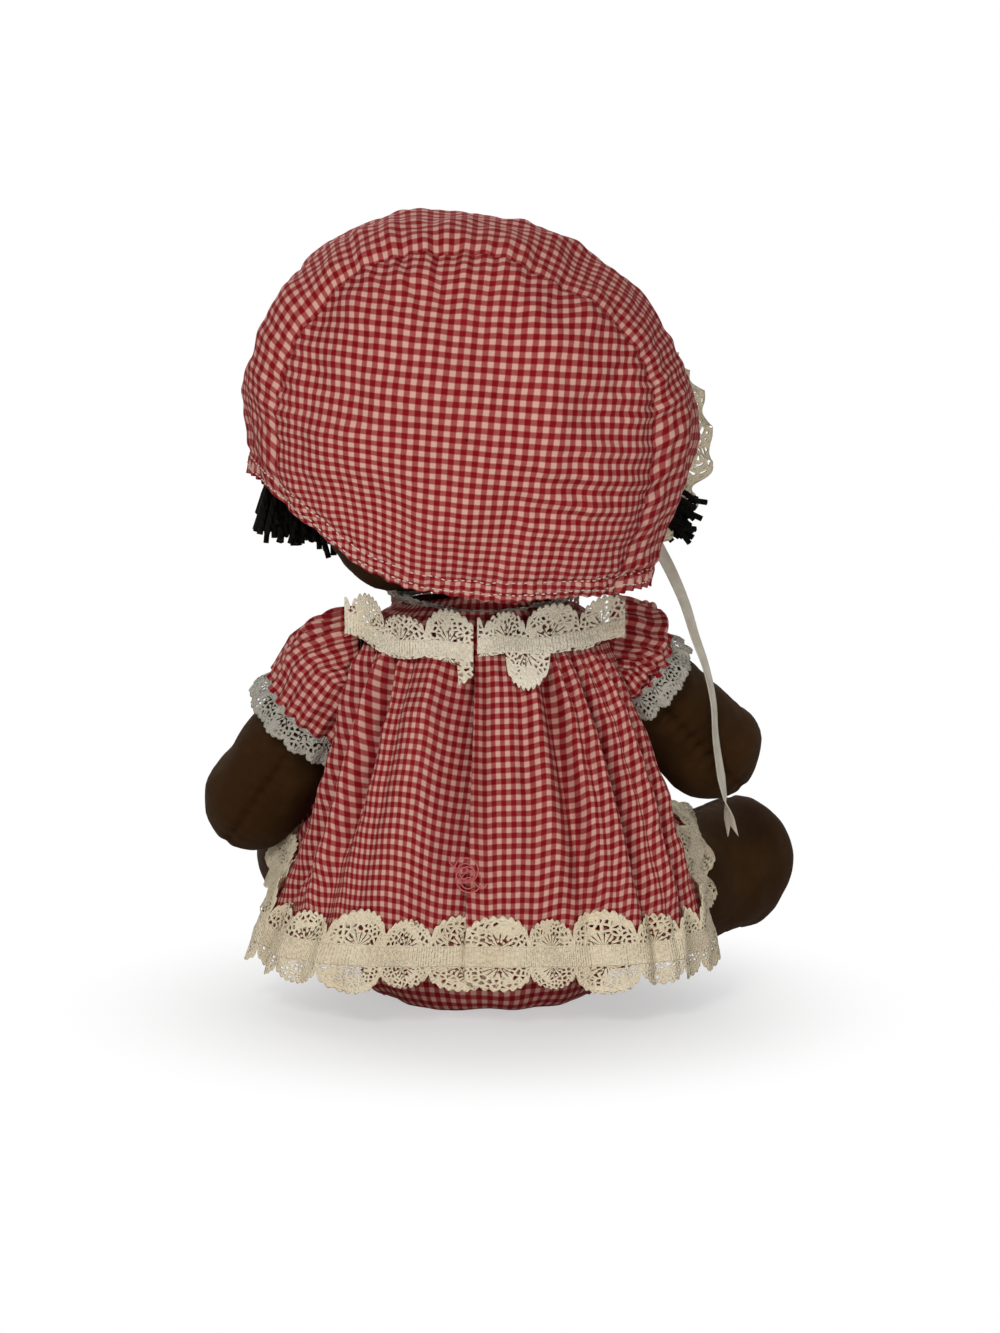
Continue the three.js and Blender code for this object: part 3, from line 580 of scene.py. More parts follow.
# %% Node trees
def new_tree(name, sizes):
    tree = bpy.data.node_groups.new(name, "GeometryNodeTree")
    tree.interface.new_socket("Lines", in_out="INPUT", socket_type="NodeSocketGeometry")
    for label, value in sizes.items():
        socket = tree.interface.new_socket(label, in_out="INPUT", socket_type="NodeSocketFloat")
        socket.default_value = value
    tree.interface.new_socket("Finish", in_out="INPUT", socket_type="NodeSocketMaterial")
    tree.interface.new_socket("Sewn", in_out="OUTPUT", socket_type="NodeSocketGeometry")
    return tree


def add_node(tree, kind, settings=None, **links):
    node = tree.nodes.new(kind)
    for name, value in (settings or {}).items():
        setattr(node, name, value)
    for name, value in links.items():
        key = int(name[1:]) if name[0] == "_" else name.replace("_", " ")
        if isinstance(value, bpy.types.NodeSocket):
            tree.links.new(value, node.inputs[key])
        else:
            node.inputs[key].default_value = value
    return node


# %% Strand tree
def strand_tree():
    """Round strands along lines, with the run along and around each one stored for the shader"""
    tree = new_tree("round_strands", {"Radius": 0.001})
    given = add_node(tree, "NodeGroupInput").outputs
    curves = add_node(tree, "GeometryNodeMeshToCurve", Mesh=given["Lines"])
    run = add_node(tree, "GeometryNodeSplineParameter")
    kept = add_node(tree, "GeometryNodeStoreNamedAttribute", {"data_type": "FLOAT", "domain": "POINT"},
                    Geometry=curves.outputs[0], Name="along", Value=run.outputs["Length"])
    ring = add_node(tree, "GeometryNodeCurvePrimitiveCircle", Resolution=6, Radius=given["Radius"])
    turn = add_node(tree, "GeometryNodeSplineParameter")
    marked = add_node(tree, "GeometryNodeStoreNamedAttribute", {"data_type": "FLOAT", "domain": "POINT"},
                      Geometry=ring.outputs[0], Name="around", Value=turn.outputs["Factor"])
    tube = add_node(tree, "GeometryNodeCurveToMesh", Curve=kept.outputs[0], Profile_Curve=marked.outputs[0])
    tube.inputs["Fill Caps"].default_value = True
    soft = add_node(tree, "GeometryNodeSetShadeSmooth", Geometry=tube.outputs[0])
    real = add_node(tree, "GeometryNodeRealizeInstances", Geometry=soft.outputs[0])
    done = add_node(tree, "GeometryNodeSetMaterial", Geometry=real.outputs[0], Material=given["Finish"])
    add_node(tree, "NodeGroupOutput", Sewn=done.outputs[0])
    return tree


STRANDS = strand_tree()
print(STRANDS.name, len(STRANDS.nodes), "nodes")


# %% Stitch tree
def stitch_tree():
    """Short stitches at even steps along lines"""
    tree = new_tree("running_stitches", {"Pitch": 0.003, "Length": 0.002, "Radius": 0.0003})
    given = add_node(tree, "NodeGroupInput").outputs
    curves = add_node(tree, "GeometryNodeMeshToCurve", Mesh=given["Lines"])
    even = add_node(tree, "GeometryNodeResampleCurve", {"mode": "LENGTH"}, Curve=curves.outputs[0],
                    Length=given["Pitch"])
    tangent = add_node(tree, "GeometryNodeInputTangent")
    facing = add_node(tree, "FunctionNodeAlignRotationToVector", {"axis": "X"}, Vector=tangent.outputs[0])
    half = add_node(tree, "ShaderNodeMath", {"operation": "MULTIPLY"}, _0=given["Length"], _1=0.5)
    size = add_node(tree, "ShaderNodeCombineXYZ", X=half.outputs[0], Y=given["Radius"], Z=given["Radius"])
    bead = add_node(tree, "GeometryNodeMeshUVSphere", Segments=6, Rings=4, Radius=1.0)
    laid = add_node(tree, "GeometryNodeInstanceOnPoints", Points=even.outputs[0], Instance=bead.outputs[0],
                    Rotation=facing.outputs[0], Scale=size.outputs[0])
    real = add_node(tree, "GeometryNodeRealizeInstances", Geometry=laid.outputs[0])
    soft = add_node(tree, "GeometryNodeSetShadeSmooth", Geometry=real.outputs[0])
    done = add_node(tree, "GeometryNodeSetMaterial", Geometry=soft.outputs[0], Material=given["Finish"])
    add_node(tree, "NodeGroupOutput", Sewn=done.outputs[0])
    return tree


STITCHES = stitch_tree()
print(STITCHES.name, len(STITCHES.nodes), "nodes")


# %% Trees run over lines
def along_lines(name, tree, lines, finish, **sizes):
    """Runs one of the trees over lines in millimetres and keeps the result as a plain mesh"""
    points = np.concatenate(lines)
    edges, start = [], 0
    for line in lines:
        edges += [(start + i, start + i + 1) for i in range(len(line) - 1)]
        start += len(line)
    mesh = bpy.data.meshes.new(name)
    mesh.from_pydata((points * MM).tolist(), edges, [])
    holder = bpy.data.objects.new(name, mesh)
    bpy.context.scene.collection.objects.link(holder)
    sewing = holder.modifiers.new("sewing", "NODES")
    sewing.node_group = tree
    for item in tree.interface.items_tree:
        if item.in_out == "INPUT" and item.name in sizes:
            sewing[item.identifier] = sizes[item.name] * MM
        if item.in_out == "INPUT" and item.name == "Finish":
            sewing[item.identifier] = finish
    depsgraph = bpy.context.evaluated_depsgraph_get()
    holder.data = bpy.data.meshes.new_from_object(holder.evaluated_get(depsgraph))
    holder.data.name = name
    holder.modifiers.remove(sewing)
    bpy.data.meshes.remove(mesh)
    print(name, len(lines), "lines", len(holder.data.polygons), "faces")
    return holder


# %% [markdown]
# ## The ribbon's two free ends
# The bonnet is tied with a cream satin ribbon. One end hangs down at the right, twists over once near its
# tip and ends in a cut fork; the other hangs in front of the left shoulder and lies on the lap. A ribbon is
# a flat cord, so each is swept along the CAD route with its width turning as it twists.

# %% Ribbon ends
RIBBON_WIDTH, RIBBON_THICK = 5.0, 0.5
BONNET_HEM_Z = 171.0
RIGHT_ROUTE = [
    (-68.25, -29.5, 12.1), (-74.5, -30, 0), (-80, -30, -13), (-84, -30, -26), (-88.5, -29.5, -39),
    (-91.5, -31.5, -53), (-92.5, -34, -67), (-94.5, -35, -81), (-97, -35.5, -95), (-100, -36, -109),
]
LEFT_ROUTE = [
    (79.5, -48.4, 36.9), (73, -58, 24), (60, -69, 13), (47, -78, 5), (38, -84, -4),
    (34.5, -87, -15), (33.5, -89, -28), (33, -91, -41), (33, -93, -55), (33, -95, -69),
    (33, -98, -82), (33, -103, -92), (33, -110, -98),
]
RIGHT_TURNS = ([0, 0.2, 0.45, 0.62, 0.8, 0.87, 0.94, 1], [0.2, 0.75, 1.12, 1.1, 0.9, 1.3, 2.5, 2.6])
LEFT_TURNS = ([0, 0.25, 0.6, 0.85, 1], [0.9, 0.2, 0.5, 0.1, 0.0])
RIBBON_POINTS = 120


def ribbon(name, route, turns, facing, node):
    """One free end: turns gives shares of the length and how far the ribbon has turned there, in radians"""
    rise = np.array([0, 0, BONNET_HEM_Z])
    line = spline(np.array(route) + rise, RIBBON_POINTS)
    share = np.linspace(0, 1, len(line))
    along = np.gradient(line, axis=0)
    along /= np.linalg.norm(along, axis=1, keepdims=True)
    side = np.cross(along, np.array(facing, float))
    side /= np.linalg.norm(side, axis=1, keepdims=True)
    out = np.cross(side, along)
    angle = np.interp(share, *turns)
    across = side * np.cos(angle)[:, None] + out * np.sin(angle)[:, None]
    face = np.cross(across, along)
    lanes = np.linspace(-1, 1, 13)
    fork = smooth(0.955, 1.0, share)[:, None] * (1 - np.abs(lanes)) * 5.0
    curl = 0.35 * (lanes**2 - 0.5) + 0.12 * np.sin(9 * share[:, None] + 2 * lanes)
    grid = (line[:, None] + across[:, None] * lanes[None, :, None] * RIBBON_WIDTH / 2
            + face[:, None] * curl[..., None] - along[:, None] * fork[..., None])
    run = run_along(line)
    uv = np.stack(np.broadcast_arrays(lanes[None] * RIBBON_WIDTH / 2, run[:, None]), axis=-1)
    piece = sewn_sheet(name, grid, uv, satin_ribbon, line.mean(0) - np.array(facing) * 500, RIBBON_THICK)
    piece.modifiers["cloth thickness"].offset = 0
    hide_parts(node)
    print(name, round(run_length(line)), "mm long")
    return piece, line


right_ribbon, right_line = ribbon("right_ribbon_end", RIGHT_ROUTE, RIGHT_TURNS, (0, 1, 0), "right_ribbon")
left_ribbon, left_line = ribbon("left_ribbon_end", LEFT_ROUTE, LEFT_TURNS, (0, -1, 0), "left_ribbon")

# %% [markdown]
# The head turns but the dress does not. Each ribbon is baked in place, and the point halfway down it, where it
# would pass from the head to the body, is printed.

# %% Ribbons baked in place
for piece, line in ((right_ribbon, right_line), (left_ribbon, left_line)):
    halfway = line[RIBBON_POINTS // 2]
    tuple(line[0] * MM)
    tuple(halfway * MM)
    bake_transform(piece)
    print(piece.name, "bends from Z", round(line[0, 2]), "to", round(halfway[2]), "mm")

# %% [markdown]
# ## Stuffed limbs
# Each limb is a tube of brown cotton, sewn along its length, turned and stuffed, with the open end gathered
# shut. Stuffing pulls the seam into a shallow groove with puckers beside it. The tubes are rings along the
# same lines as the CAD solids, with the seam and the lumps of the filling pressed into them.

# %% Stuffed tubes
AROUND = 128


def ring_frame(axis):
    """Two unit vectors square to an axis, the second one upwards"""
    axis = np.asarray(axis, float)
    side = np.cross(axis, (0, 0, 1.0))
    side /= np.linalg.norm(side, axis=-1, keepdims=True) + 1e-12
    return side, np.cross(side, axis)


def rings(centres, axes, radii, around=AROUND):
    """A tube of rings square to an axis, and the turn of each point in its ring"""
    turn = np.linspace(0, 2 * math.pi, around, endpoint=False)
    side, up = ring_frame(axes)
    spoke = side[:, None] * np.cos(turn)[None, :, None] + up[:, None] * np.sin(turn)[None, :, None]
    return centres[:, None] + spoke * np.asarray(radii)[:, None, None], turn


def tube_uv(grid, mean_radius):
    """Flat cloth coordinates of a tube: around it, and along it from its first ring"""
    steps = np.linalg.norm(np.diff(grid, axis=0), axis=-1).mean(1)
    along = np.concatenate([[0], np.cumsum(steps)])
    around = np.linspace(0, 2 * math.pi * mean_radius, grid.shape[1] + 1)
    return np.stack(np.broadcast_arrays(around[None], along[:, None]), axis=-1)


def stuffed(grid, turn, seams, seed, pucker=0.7, lump=0.8):
    """Presses seams and the lumps of the filling into a tube"""
    middle = grid.mean(axis=1, keepdims=True)
    away = grid - middle
    reach = np.linalg.norm(away, axis=-1, keepdims=True) + 1e-9
    along = run_along(middle[:, 0])
    change = lump * ripple(grid, 26, seed) + 0.25 * lump * ripple(grid, 9, seed + 1)
    for seam in seams:
        near = np.abs((turn - seam + math.pi) % (2 * math.pi) - math.pi)[None] * reach[..., 0]
        change -= 1.7 * np.exp(-((near / 1.9) ** 2))
        pulls = np.cos(along[:, None] * (2 * math.pi / 5.5) + 2 * np.sin(along[:, None] / 17))
        change += pucker * pulls * np.exp(-near / 4.5)
    fade = np.minimum(reach[..., 0] / 8, 1)
    return grid + away / reach * (change * fade)[..., None]


print("tubes have", AROUND, "points round them")


# %% Stuffed pieces
def sewn_on(piece, body, node):
    """A piece moves with a body and stands for one solid of the CAD, which is hidden"""
    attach(piece, body)
    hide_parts(node)


def padded_piece(name, grid, uv, node, body):
    """A closed stuffed piece: the last ring of a tube at each end is drawn together to a point"""
    rows, columns = grid.shape[:2]
    quads = grid_quads(rows, columns, True)
    corners = grid_uv(uv)
    flat = grid.reshape(-1, 3)
    caps, cap_uv, hubs = [], [], []
    for row, flip in ((0, False), (rows - 1, True)):
        hub = len(flat) + len(hubs)
        hubs.append(grid[row].mean(0))
        for c in range(columns):
            pair = (row * columns + c, row * columns + (c + 1) % columns)
            a, b = pair[::-1] if flip else pair
            caps.append((hub, a, b))
            cap_uv.append([uv[row, c]] * 3)
    points = np.concatenate([flat, np.array(hubs)])
    a, b, c = points[quads[:, 0]], points[quads[:, 1]], points[quads[:, 2]]
    inside = np.repeat(grid.mean(axis=1)[:-1], columns, axis=0)
    if (np.cross(b - a, c - a) * (a - inside)).sum() < 0:
        quads, corners = quads[:, ::-1], corners[:, ::-1]
        caps = [(hub, b, a) for hub, a, b in caps]
    mesh = bpy.data.meshes.new(name)
    faces = [tuple(quad) for quad in quads.tolist()] + caps
    mesh.from_pydata((points * MM).tolist(), [], faces)
    layer = mesh.uv_layers.new(name="cloth")
    loops = np.concatenate([corners.reshape(-1, 2), np.array(cap_uv).reshape(-1, 2)])
    layer.data.foreach_set("uv", (loops * MM).ravel())
    mesh.polygons.foreach_set("use_smooth", np.ones(len(faces), bool))
    mesh.materials.append(brown_skin)
    mesh.update()
    piece = bpy.data.objects.new(name, mesh)
    bpy.context.scene.collection.objects.link(piece)
    sewn_on(piece, body, node)
    print(name, len(faces), "faces")


# %% [markdown]
# The arms hang from the shoulder stubs and swell to a round end. The legs lie on the floor and do the same,
# with the toes a little up.

# %% Limb lines
SHOULDER = np.array([50.0, -33.0, 140.0])
ARM_ROOT, ARM_RADIUS, HAND_RADIUS, ARM_FORWARD = 13.0, 18.0, 21.5, 27.0
ARMS = {"left": (1, 44.0, 67.0), "right": (-1, 41.0, 46.0)}
HIP = np.array([30.1, -47.0, 28.0])
THIGH_RADIUS, FOOT_RADIUS, LEG_LENGTH, TOE_RISE = 25.0, 28.0, 104.0, 7.0
LEGS = {"left": (1, math.radians(22)), "right": (-1, math.radians(43))}
LEG_ROOM = 28.2
LIMB_RINGS, LUMP_ROOM, LIMB_FILL = 70, 0.6, 0.8
ABOVE_FLOOR = 0.3


def arm_line(side, out, drop):
    """An arm's root, its direction, its length and the way it leaves the shoulder"""
    root = SHOULDER * (side, 1, 1)
    reach = np.array([side * out, -ARM_FORWARD, -drop])
    length = np.linalg.norm(reach)
    return root, reach / length, length, np.array([side, 0.0, 0.0])


def turned_in(share, flat, along):
    """The axis of a limb, easing from straight out of the shoulder to along the arm"""
    ease = smooth(0, 0.4, share)[:, None]
    axis = flat * (1 - ease) + along * ease
    return axis / np.linalg.norm(axis, axis=1, keepdims=True)


def round_end(radius, count=14):
    """Distances and radii of a rounded end, drawn together at its tip"""
    turn = np.linspace(0, math.pi / 2, count + 1)[1:-1]
    return radius * np.sin(turn), radius * np.cos(turn)


def leg_line(side, splay):
    """A leg's hip seam and its direction"""
    return HIP * (side, 1, 1), np.array([side * math.sin(splay), -math.cos(splay), 0])


print("hips at", HIP, "and shoulders at", SHOULDER, "mm")

# %% Arms
for name, (side, out, drop) in ARMS.items():
    root, along, length, flat = arm_line(side, out, drop)
    tip, tip_radius = round_end(HAND_RADIUS)
    straight = np.linspace(0, length, LIMB_RINGS)
    swell = np.interp(straight / length, [0, 0.12, 1], [ARM_ROOT, ARM_RADIUS, HAND_RADIUS])
    distance = np.concatenate([straight, length + tip])
    radius = np.concatenate([swell, tip_radius])
    axes = turned_in(distance / length, flat, along)
    grid, turn = rings(root + along * distance[:, None], axes, radius - LUMP_ROOM)
    seam = math.radians(205 if side > 0 else -25)
    grid = stuffed(grid, turn, (seam, seam + 2.4), 31 + side, pucker=1.0)
    grid[..., 0] = side * np.maximum(side * grid[..., 0], SHOULDER[0] + 0.05)
    body = f"{name}_arm"
    padded_piece(f"{name}_stuffed_arm", grid, tube_uv(grid, ARM_RADIUS), body, body)

# %% Legs
for name, (side, splay) in LEGS.items():
    hip, along = leg_line(side, splay)
    tip, tip_radius = round_end(FOOT_RADIUS)
    back, back_radius = round_end(THIGH_RADIUS)
    distance = np.concatenate([-back[::-1], np.linspace(0, LEG_LENGTH, LIMB_RINGS), LEG_LENGTH + tip])
    swell = np.interp(np.linspace(0, 1, LIMB_RINGS), [0, 1], [THIGH_RADIUS, FOOT_RADIUS])
    radius = np.concatenate([back_radius[::-1], swell, tip_radius])
    centres = hip + along * distance[:, None]
    centres[:, 2] += TOE_RISE * smooth(LEG_LENGTH / 2, LEG_LENGTH + FOOT_RADIUS, distance)
    grid, turn = rings(centres, np.repeat(along[None], len(distance), 0), radius - LUMP_ROOM)
    grid = stuffed(grid, turn, (math.radians(100), math.radians(280)), 41 + side)
    grid[..., 2] = np.maximum(grid[..., 2], ABOVE_FLOOR)
    body = f"{name}_leg"
    padded_piece(f"{name}_stuffed_leg", grid, tube_uv(grid, THIGH_RADIUS), body, body)

# %% [markdown]
# ## Torso and head
# The torso is mostly under the dress: a stuffed bag with a neck and two stubs that the arms are sewn to. The
# head is a round stuffed ball. Its face is not in the picture, so it is a plain, calm doll's face of our own:
# two oval eyes in black thread, each with a painted highlight of pale stitches, a small brown nose and a gentle
# mouth in red thread.

# %% Torso
BODY_Y, TORSO_RADIUS = -25.0, 40
TORSO_KEYS = [
    (42, 36, 2.1), (46, 39, 36), (41, 32, 88), (42, 28, 127), (42, 28, 140), (27, 22, 153), (19, 19, 165.7),
]


def ellipses(keys, count, around=AROUND):
    """Level rings through rows of half width, half depth and height"""
    line = spline(keys, count)
    turn = np.linspace(0, 2 * math.pi, around, endpoint=False)
    x = line[:, :1] * np.cos(turn)
    y = BODY_Y + line[:, 1:2] * np.sin(turn)
    return np.stack(np.broadcast_arrays(x, y, line[:, 2:]), -1), turn


def clear_of_legs(grid, radius):
    """Moves points back out of the room that the thighs swing through"""
    level = np.maximum(grid[..., 2] - HIP[2], 0)
    reach = np.sqrt(np.maximum(radius**2 - level**2, 0))
    inside = (level < radius) & (grid[..., 1] < HIP[1] + reach)
    grid[..., 1] = np.where(inside, HIP[1] + reach, grid[..., 1])
    return grid


grid, turn = ellipses(TORSO_KEYS, LIMB_RINGS)
grid = stuffed(grid, turn, (0.0, math.pi), 21)
for side in (1, -1):
    stub = np.hypot(grid[..., 1] - SHOULDER[1], grid[..., 2] - SHOULDER[2])
    pull = (1 - smooth(ARM_ROOT - 7, ARM_ROOT - 1, stub)) * (side * grid[..., 0] > 0)
    grid[..., 0] += pull * (side * (SHOULDER[0] - 0.5) - grid[..., 0])
grid = clear_of_legs(grid, LEG_ROOM)
padded_piece("stuffed_torso", grid, tube_uv(grid, TORSO_RADIUS), "torso", "torso")

# %% Head
HEAD = np.array([4.0, BODY_Y, 231.0])
HEAD_SIZE = np.array([68.0, 54.0, 69.0])
HEAD_RADIUS, HEAD_FILL = 60, 0.85
JAW_POWER, JAW_DROP = 2.3, 7.5
NECK_Z = 166.0

lift = np.linspace(-1.22, math.pi / 2 - 0.02, 80)
turn = np.linspace(0, 2 * math.pi, 144, endpoint=False)
full_jaw = (1 - np.abs(np.sin(lift)) ** JAW_POWER) ** (1 / JAW_POWER)
jaw = np.where(lift < 0, full_jaw, np.cos(lift))
ball = np.stack(np.broadcast_arrays(jaw[:, None] * np.cos(turn), np.cos(lift)[:, None] * np.sin(turn),
                                    np.sin(lift)[:, None]), -1)
grid = HEAD + ball * (HEAD_SIZE - 0.5)
grid[..., 2] -= JAW_DROP * smooth(20, 50, grid[..., 0]) * smooth(10, 45, HEAD[2] - grid[..., 2])
grid = stuffed(grid, turn, (0.0, math.pi), 11, pucker=0.5, lump=0.5)
grid[..., 2] = np.maximum(grid[..., 2], NECK_Z + 0.1)
padded_piece("stuffed_head", grid, tube_uv(grid, HEAD_RADIUS), "head", "head")

# %% [markdown]
# ## Bloomers
# Under the dress the doll wears short bloomers of the same check: a puffed seat on a waist elastic, and two
# short legs edged with white lace. The cloth is gathered at every edge, so each tube gets ripples that die
# out away from the edge.

# %% Sheets of gingham
def mesh_points(piece):
    """The points of a finished mesh, in metres"""
    points = np.zeros(len(piece.data.vertices) * 3)
    piece.data.vertices.foreach_get("co", points)
    return points.reshape(-1, 3)


def set_points(piece, points):
    """Gives a finished mesh new points, in metres"""
    piece.data.vertices.foreach_set("co", points.ravel())


def cloth_area(piece):
    """Area of one side of a cloth piece, in square metres"""
    points = mesh_points(piece)
    loops = np.zeros(len(piece.data.loops), int)
    piece.data.loops.foreach_get("vertex_index", loops)
    a, b, c, d = points[loops.reshape(-1, 4)].transpose(1, 0, 2)
    return 0.5 * np.linalg.norm(np.cross(c - a, d - b), axis=1).sum()


def cut_size(piece, length):
    """The flat rectangle that a piece of this cloth is cut from, for one known length in millimetres"""
    return (cloth_area(piece) / (length * MM) / MM, length)


def gingham_sheet(piece, body, node, length):
    """A piece of gingham moves with a body and stands for a CAD solid, and its flat cut is worked out"""
    sewn_on(piece, body, node)
    width, length = cut_size(piece, length)
    width * MM
    length * MM
    print(piece.name, "is cut from", round(width), "by", round(length), "mm")


# %% Bloomers seat and waist
BLOOMERS_KEYS = [
    (2, 2, 0.4), (24, 20, 0.5), (40, 34, 0.8), (48, 41, 7),
    (51, 44, 20), (51, 44, 36), (47.5, 39, 62), (43.6, 34.6, 84.5),
]
WAIST_KEYS = [(43.1, 34, 85.6), (42.9, 33.9, 88), (42.8, 33.8, 91)]
SEAT_MIDDLE, WAIST_MIDDLE = (0, BODY_Y, 40), (0, BODY_Y, 88)
SEAT_RADIUS, WAIST_RADIUS, SEAT_CUT = 48, 40, 125
WAIST_POINTS, WAIST_THICK = 200, 1.0

grid, turn = ellipses(BLOOMERS_KEYS, 110, WAIST_POINTS)
out = outward(grid, SEAT_MIDDLE, True)
below_waist = BLOOMERS_KEYS[-1][2] - grid[..., 2]
gathers = np.cos(turn * 38 + 1.5 * np.sin(turn * 5))
grid += out * (0.9 * gathers * np.exp(-below_waist / 16) + 0.8 * ripple(grid, 20, 51))[..., None]
grid[..., 2] = np.maximum(grid[..., 2], ABOVE_FLOOR)
grid = clear_of_legs(grid, LEG_ROOM - 0.4)
uv = tube_uv(grid, SEAT_RADIUS)
seat = sewn_sheet("bloomers_seat_cloth", grid, uv, gingham_cloth, SEAT_MIDDLE, wraps=True)

grid, turn = ellipses(WAIST_KEYS, 12, WAIST_POINTS)
grid += outward(grid, WAIST_MIDDLE, True) * (0.35 * np.cos(turn * 60))[None, :, None]
uv = tube_uv(grid, WAIST_RADIUS)
waist = sewn_sheet("waist_elastic_band", grid, uv, elastic_band, WAIST_MIDDLE, WAIST_THICK, wraps=True)
sewn_on(waist, "torso", "waist_elastic")
gingham_sheet(seat, "torso", "bloomers_seat", SEAT_CUT)


# %% Lace frills
LACE_THICK = 0.35


def scallop(run, period, deep):
    """Half-round scallops along a lace edge"""
    across = 2 * ((run / period) % 1.0) - 1
    return deep * np.sqrt(np.maximum(1 - across**2, 0.0))


def lace_ring(name, centre_of, axis, radius_of, count, width, deep, middle, body, node, seed, tuck=None):
    """A closed frill of white lace: count scallops round an axis, a width from its sewn edge to their tips"""
    columns, rows = count * 24, 12
    turn = np.linspace(0, 2 * math.pi, columns, endpoint=False)
    run = turn / (2 * math.pi) * count * TRIM_SCALLOP
    picots = 0.8 * np.abs(np.sin(run / TRIM_SCALLOP * (4 * math.pi)))
    edge = width - deep + scallop(run, TRIM_SCALLOP, deep) + picots
    edge = edge * tuck(turn) if tuck else edge
    side, up = ring_frame(axis)
    spoke = side[None] * np.cos(turn)[:, None] + up[None] * np.sin(turn)[:, None]
    share = np.linspace(0, 1, rows)[:, None]
    down = share * edge[None]
    wave = np.sin(turn * count + 1.3 * np.sin(3 * turn + seed)) * share
    radius = radius_of(share) + 0.9 * wave
    grid = centre_of(down) + spoke[None] * radius[..., None]
    full = np.concatenate([run, [count * TRIM_SCALLOP]])
    uv = np.stack(np.broadcast_arrays(full[None], np.concatenate([down, down[:, :1]], 1)), -1)
    piece = sewn_sheet(name, grid, uv, white_lace, middle, LACE_THICK, wraps=True)
    sewn_on(piece, body, node)
    return piece


print("white lace has a scallop every", TRIM_SCALLOP, "mm")

# %% Bloomers legs
BLOOMERS_RADIUS, BLOOMERS_LEG, BLOOMERS_LACE = 27.1, 34.0, 9.0
BLOOMERS_RINGS, BLOOMERS_CUT = 40, 60
CLOTH_ABOVE_FLOOR, LACE_ABOVE_FLOOR = 0.25, 0.4

for name, (side, splay) in LEGS.items():
    hip, along = leg_line(side, splay)
    leg_edge = hip + along * BLOOMERS_LEG
    back, back_radius = round_end(BLOOMERS_RADIUS)
    distance = np.concatenate([-back[::-1], np.linspace(0, BLOOMERS_LEG, BLOOMERS_RINGS)])
    swell = np.linspace(BLOOMERS_RADIUS, BLOOMERS_RADIUS + 0.6, BLOOMERS_RINGS)
    radius = np.concatenate([back_radius[::-1], swell])
    centres = hip + along * distance[:, None]
    grid, turn = rings(centres, np.repeat(along[None], len(distance), 0), radius, 160)
    pull = np.exp(-(BLOOMERS_LEG - distance) / 9)[:, None] * np.cos(turn * 30 + np.sin(turn * 4))
    away = grid - centres[:, None]
    away /= np.linalg.norm(away, axis=-1, keepdims=True)
    grid += away * (0.7 * pull - 0.5 + 0.4 * ripple(grid, 15, 61 + side))[..., None]
    grid[..., 2] = np.maximum(grid[..., 2], CLOTH_ABOVE_FLOOR)
    uv = tube_uv(grid, BLOOMERS_RADIUS)
    leg_cloth = sewn_sheet(f"bloomers_{name}_leg_cloth", grid, uv, gingham_cloth, hip, wraps=True)
    frill = lace_ring(
        f"bloomers_{name}_frill", lambda down: leg_edge + down[..., None] * along, along,
        lambda share: BLOOMERS_RADIUS + 0.4 - 0.8 * share, count=16, width=BLOOMERS_LACE, deep=3.0,
        middle=hip, body=f"{name}_leg", node=f"bloomers_{name}_lace", seed=3)
    points = mesh_points(frill)
    points[:, 2] = np.maximum(points[:, 2], LACE_ABOVE_FLOOR * MM)
    set_points(frill, points)
    gingham_sheet(leg_cloth, f"{name}_leg", f"bloomers_{name}_leg", BLOOMERS_CUT)

# %% [markdown]
# ## The skirt
# The skirt is one wide strip of gingham, gathered to the yoke and open down the back, where the right edge
# laps over the left. Small gathers under the seam run together into deep folds, which calm down towards the
# hem. The surface comes from the same columns as the CAD skirt: each runs from the yoke seam through a bend
# to the hem, and the folds move it in and out.

# %% Skirt columns
LAP_Z = HIP[2] + BLOOMERS_RADIUS + 8.6
LAP_FALL = 4.6
HEM_HALF, HEM_BACK, HEM_FRONT = 86.0, 38.0, -114.0
YOKE_HALF, YOKE_DEEP, YOKE_Z = 48.0, 36.0, 145.5
SKIRT_COLUMNS = [
    (90, (0, 27, 86), (0, HEM_BACK, 27)),
    (52, (50, 21, 86), (HEM_HALF - 26, HEM_BACK - 5, 27)),
    (27, (71, 6, 86), (HEM_HALF, 4, 27)),
    (4, (50, -16, 85), (HEM_HALF, -26, 35.5)),
    (-14, (41, -38, 84), (HEM_HALF, -56, 44)),
    (-30, (48, -60, LAP_Z), (HEM_HALF - LAP_FALL / 2, -84, LAP_Z - LAP_FALL)),
    (-50, (50, -78, LAP_Z), (HEM_HALF - 22, HEM_FRONT + 6, LAP_Z)),
    (-90, (0, -84, LAP_Z), (0, HEM_FRONT, LAP_Z)),
]
LEFT_BENDS = [(42, 22, 86), (51, 8, 86), (40, -16, 85)]
SKIRT_MIDDLE = (0, BODY_Y, 60)


def both_sides(left):
    """A closed ring from its left half, which is mirrored"""
    left = np.array(left, float)
    return np.concatenate([left, left[1:-1][::-1] * (-1, 1, 1)])


turns = np.radians([column[0] for column in SKIRT_COLUMNS])
skirt_top = both_sides(np.stack([YOKE_HALF * np.cos(turns), BODY_Y + YOKE_DEEP * np.sin(turns),
                                 np.full(len(turns), YOKE_Z - 0.3)], -1))
skirt_bend = both_sides([column[1] for column in SKIRT_COLUMNS])
skirt_bend[1:4] = LEFT_BENDS
skirt_hem = both_sides([column[2] for column in SKIRT_COLUMNS])
print("the skirt has", len(skirt_hem), "columns")


# %% Skirt surface
def round_at(points, share):
    """A point at a share of the way round a closed smooth curve"""
    count = len(points)
    t = (np.asarray(share) % 1.0) * count
    i = t.astype(int) % count
    corners = (points[(i + k) % count] for k in (-1, 0, 1, 2))
    return between(*corners, (t - np.floor(t))[..., None])


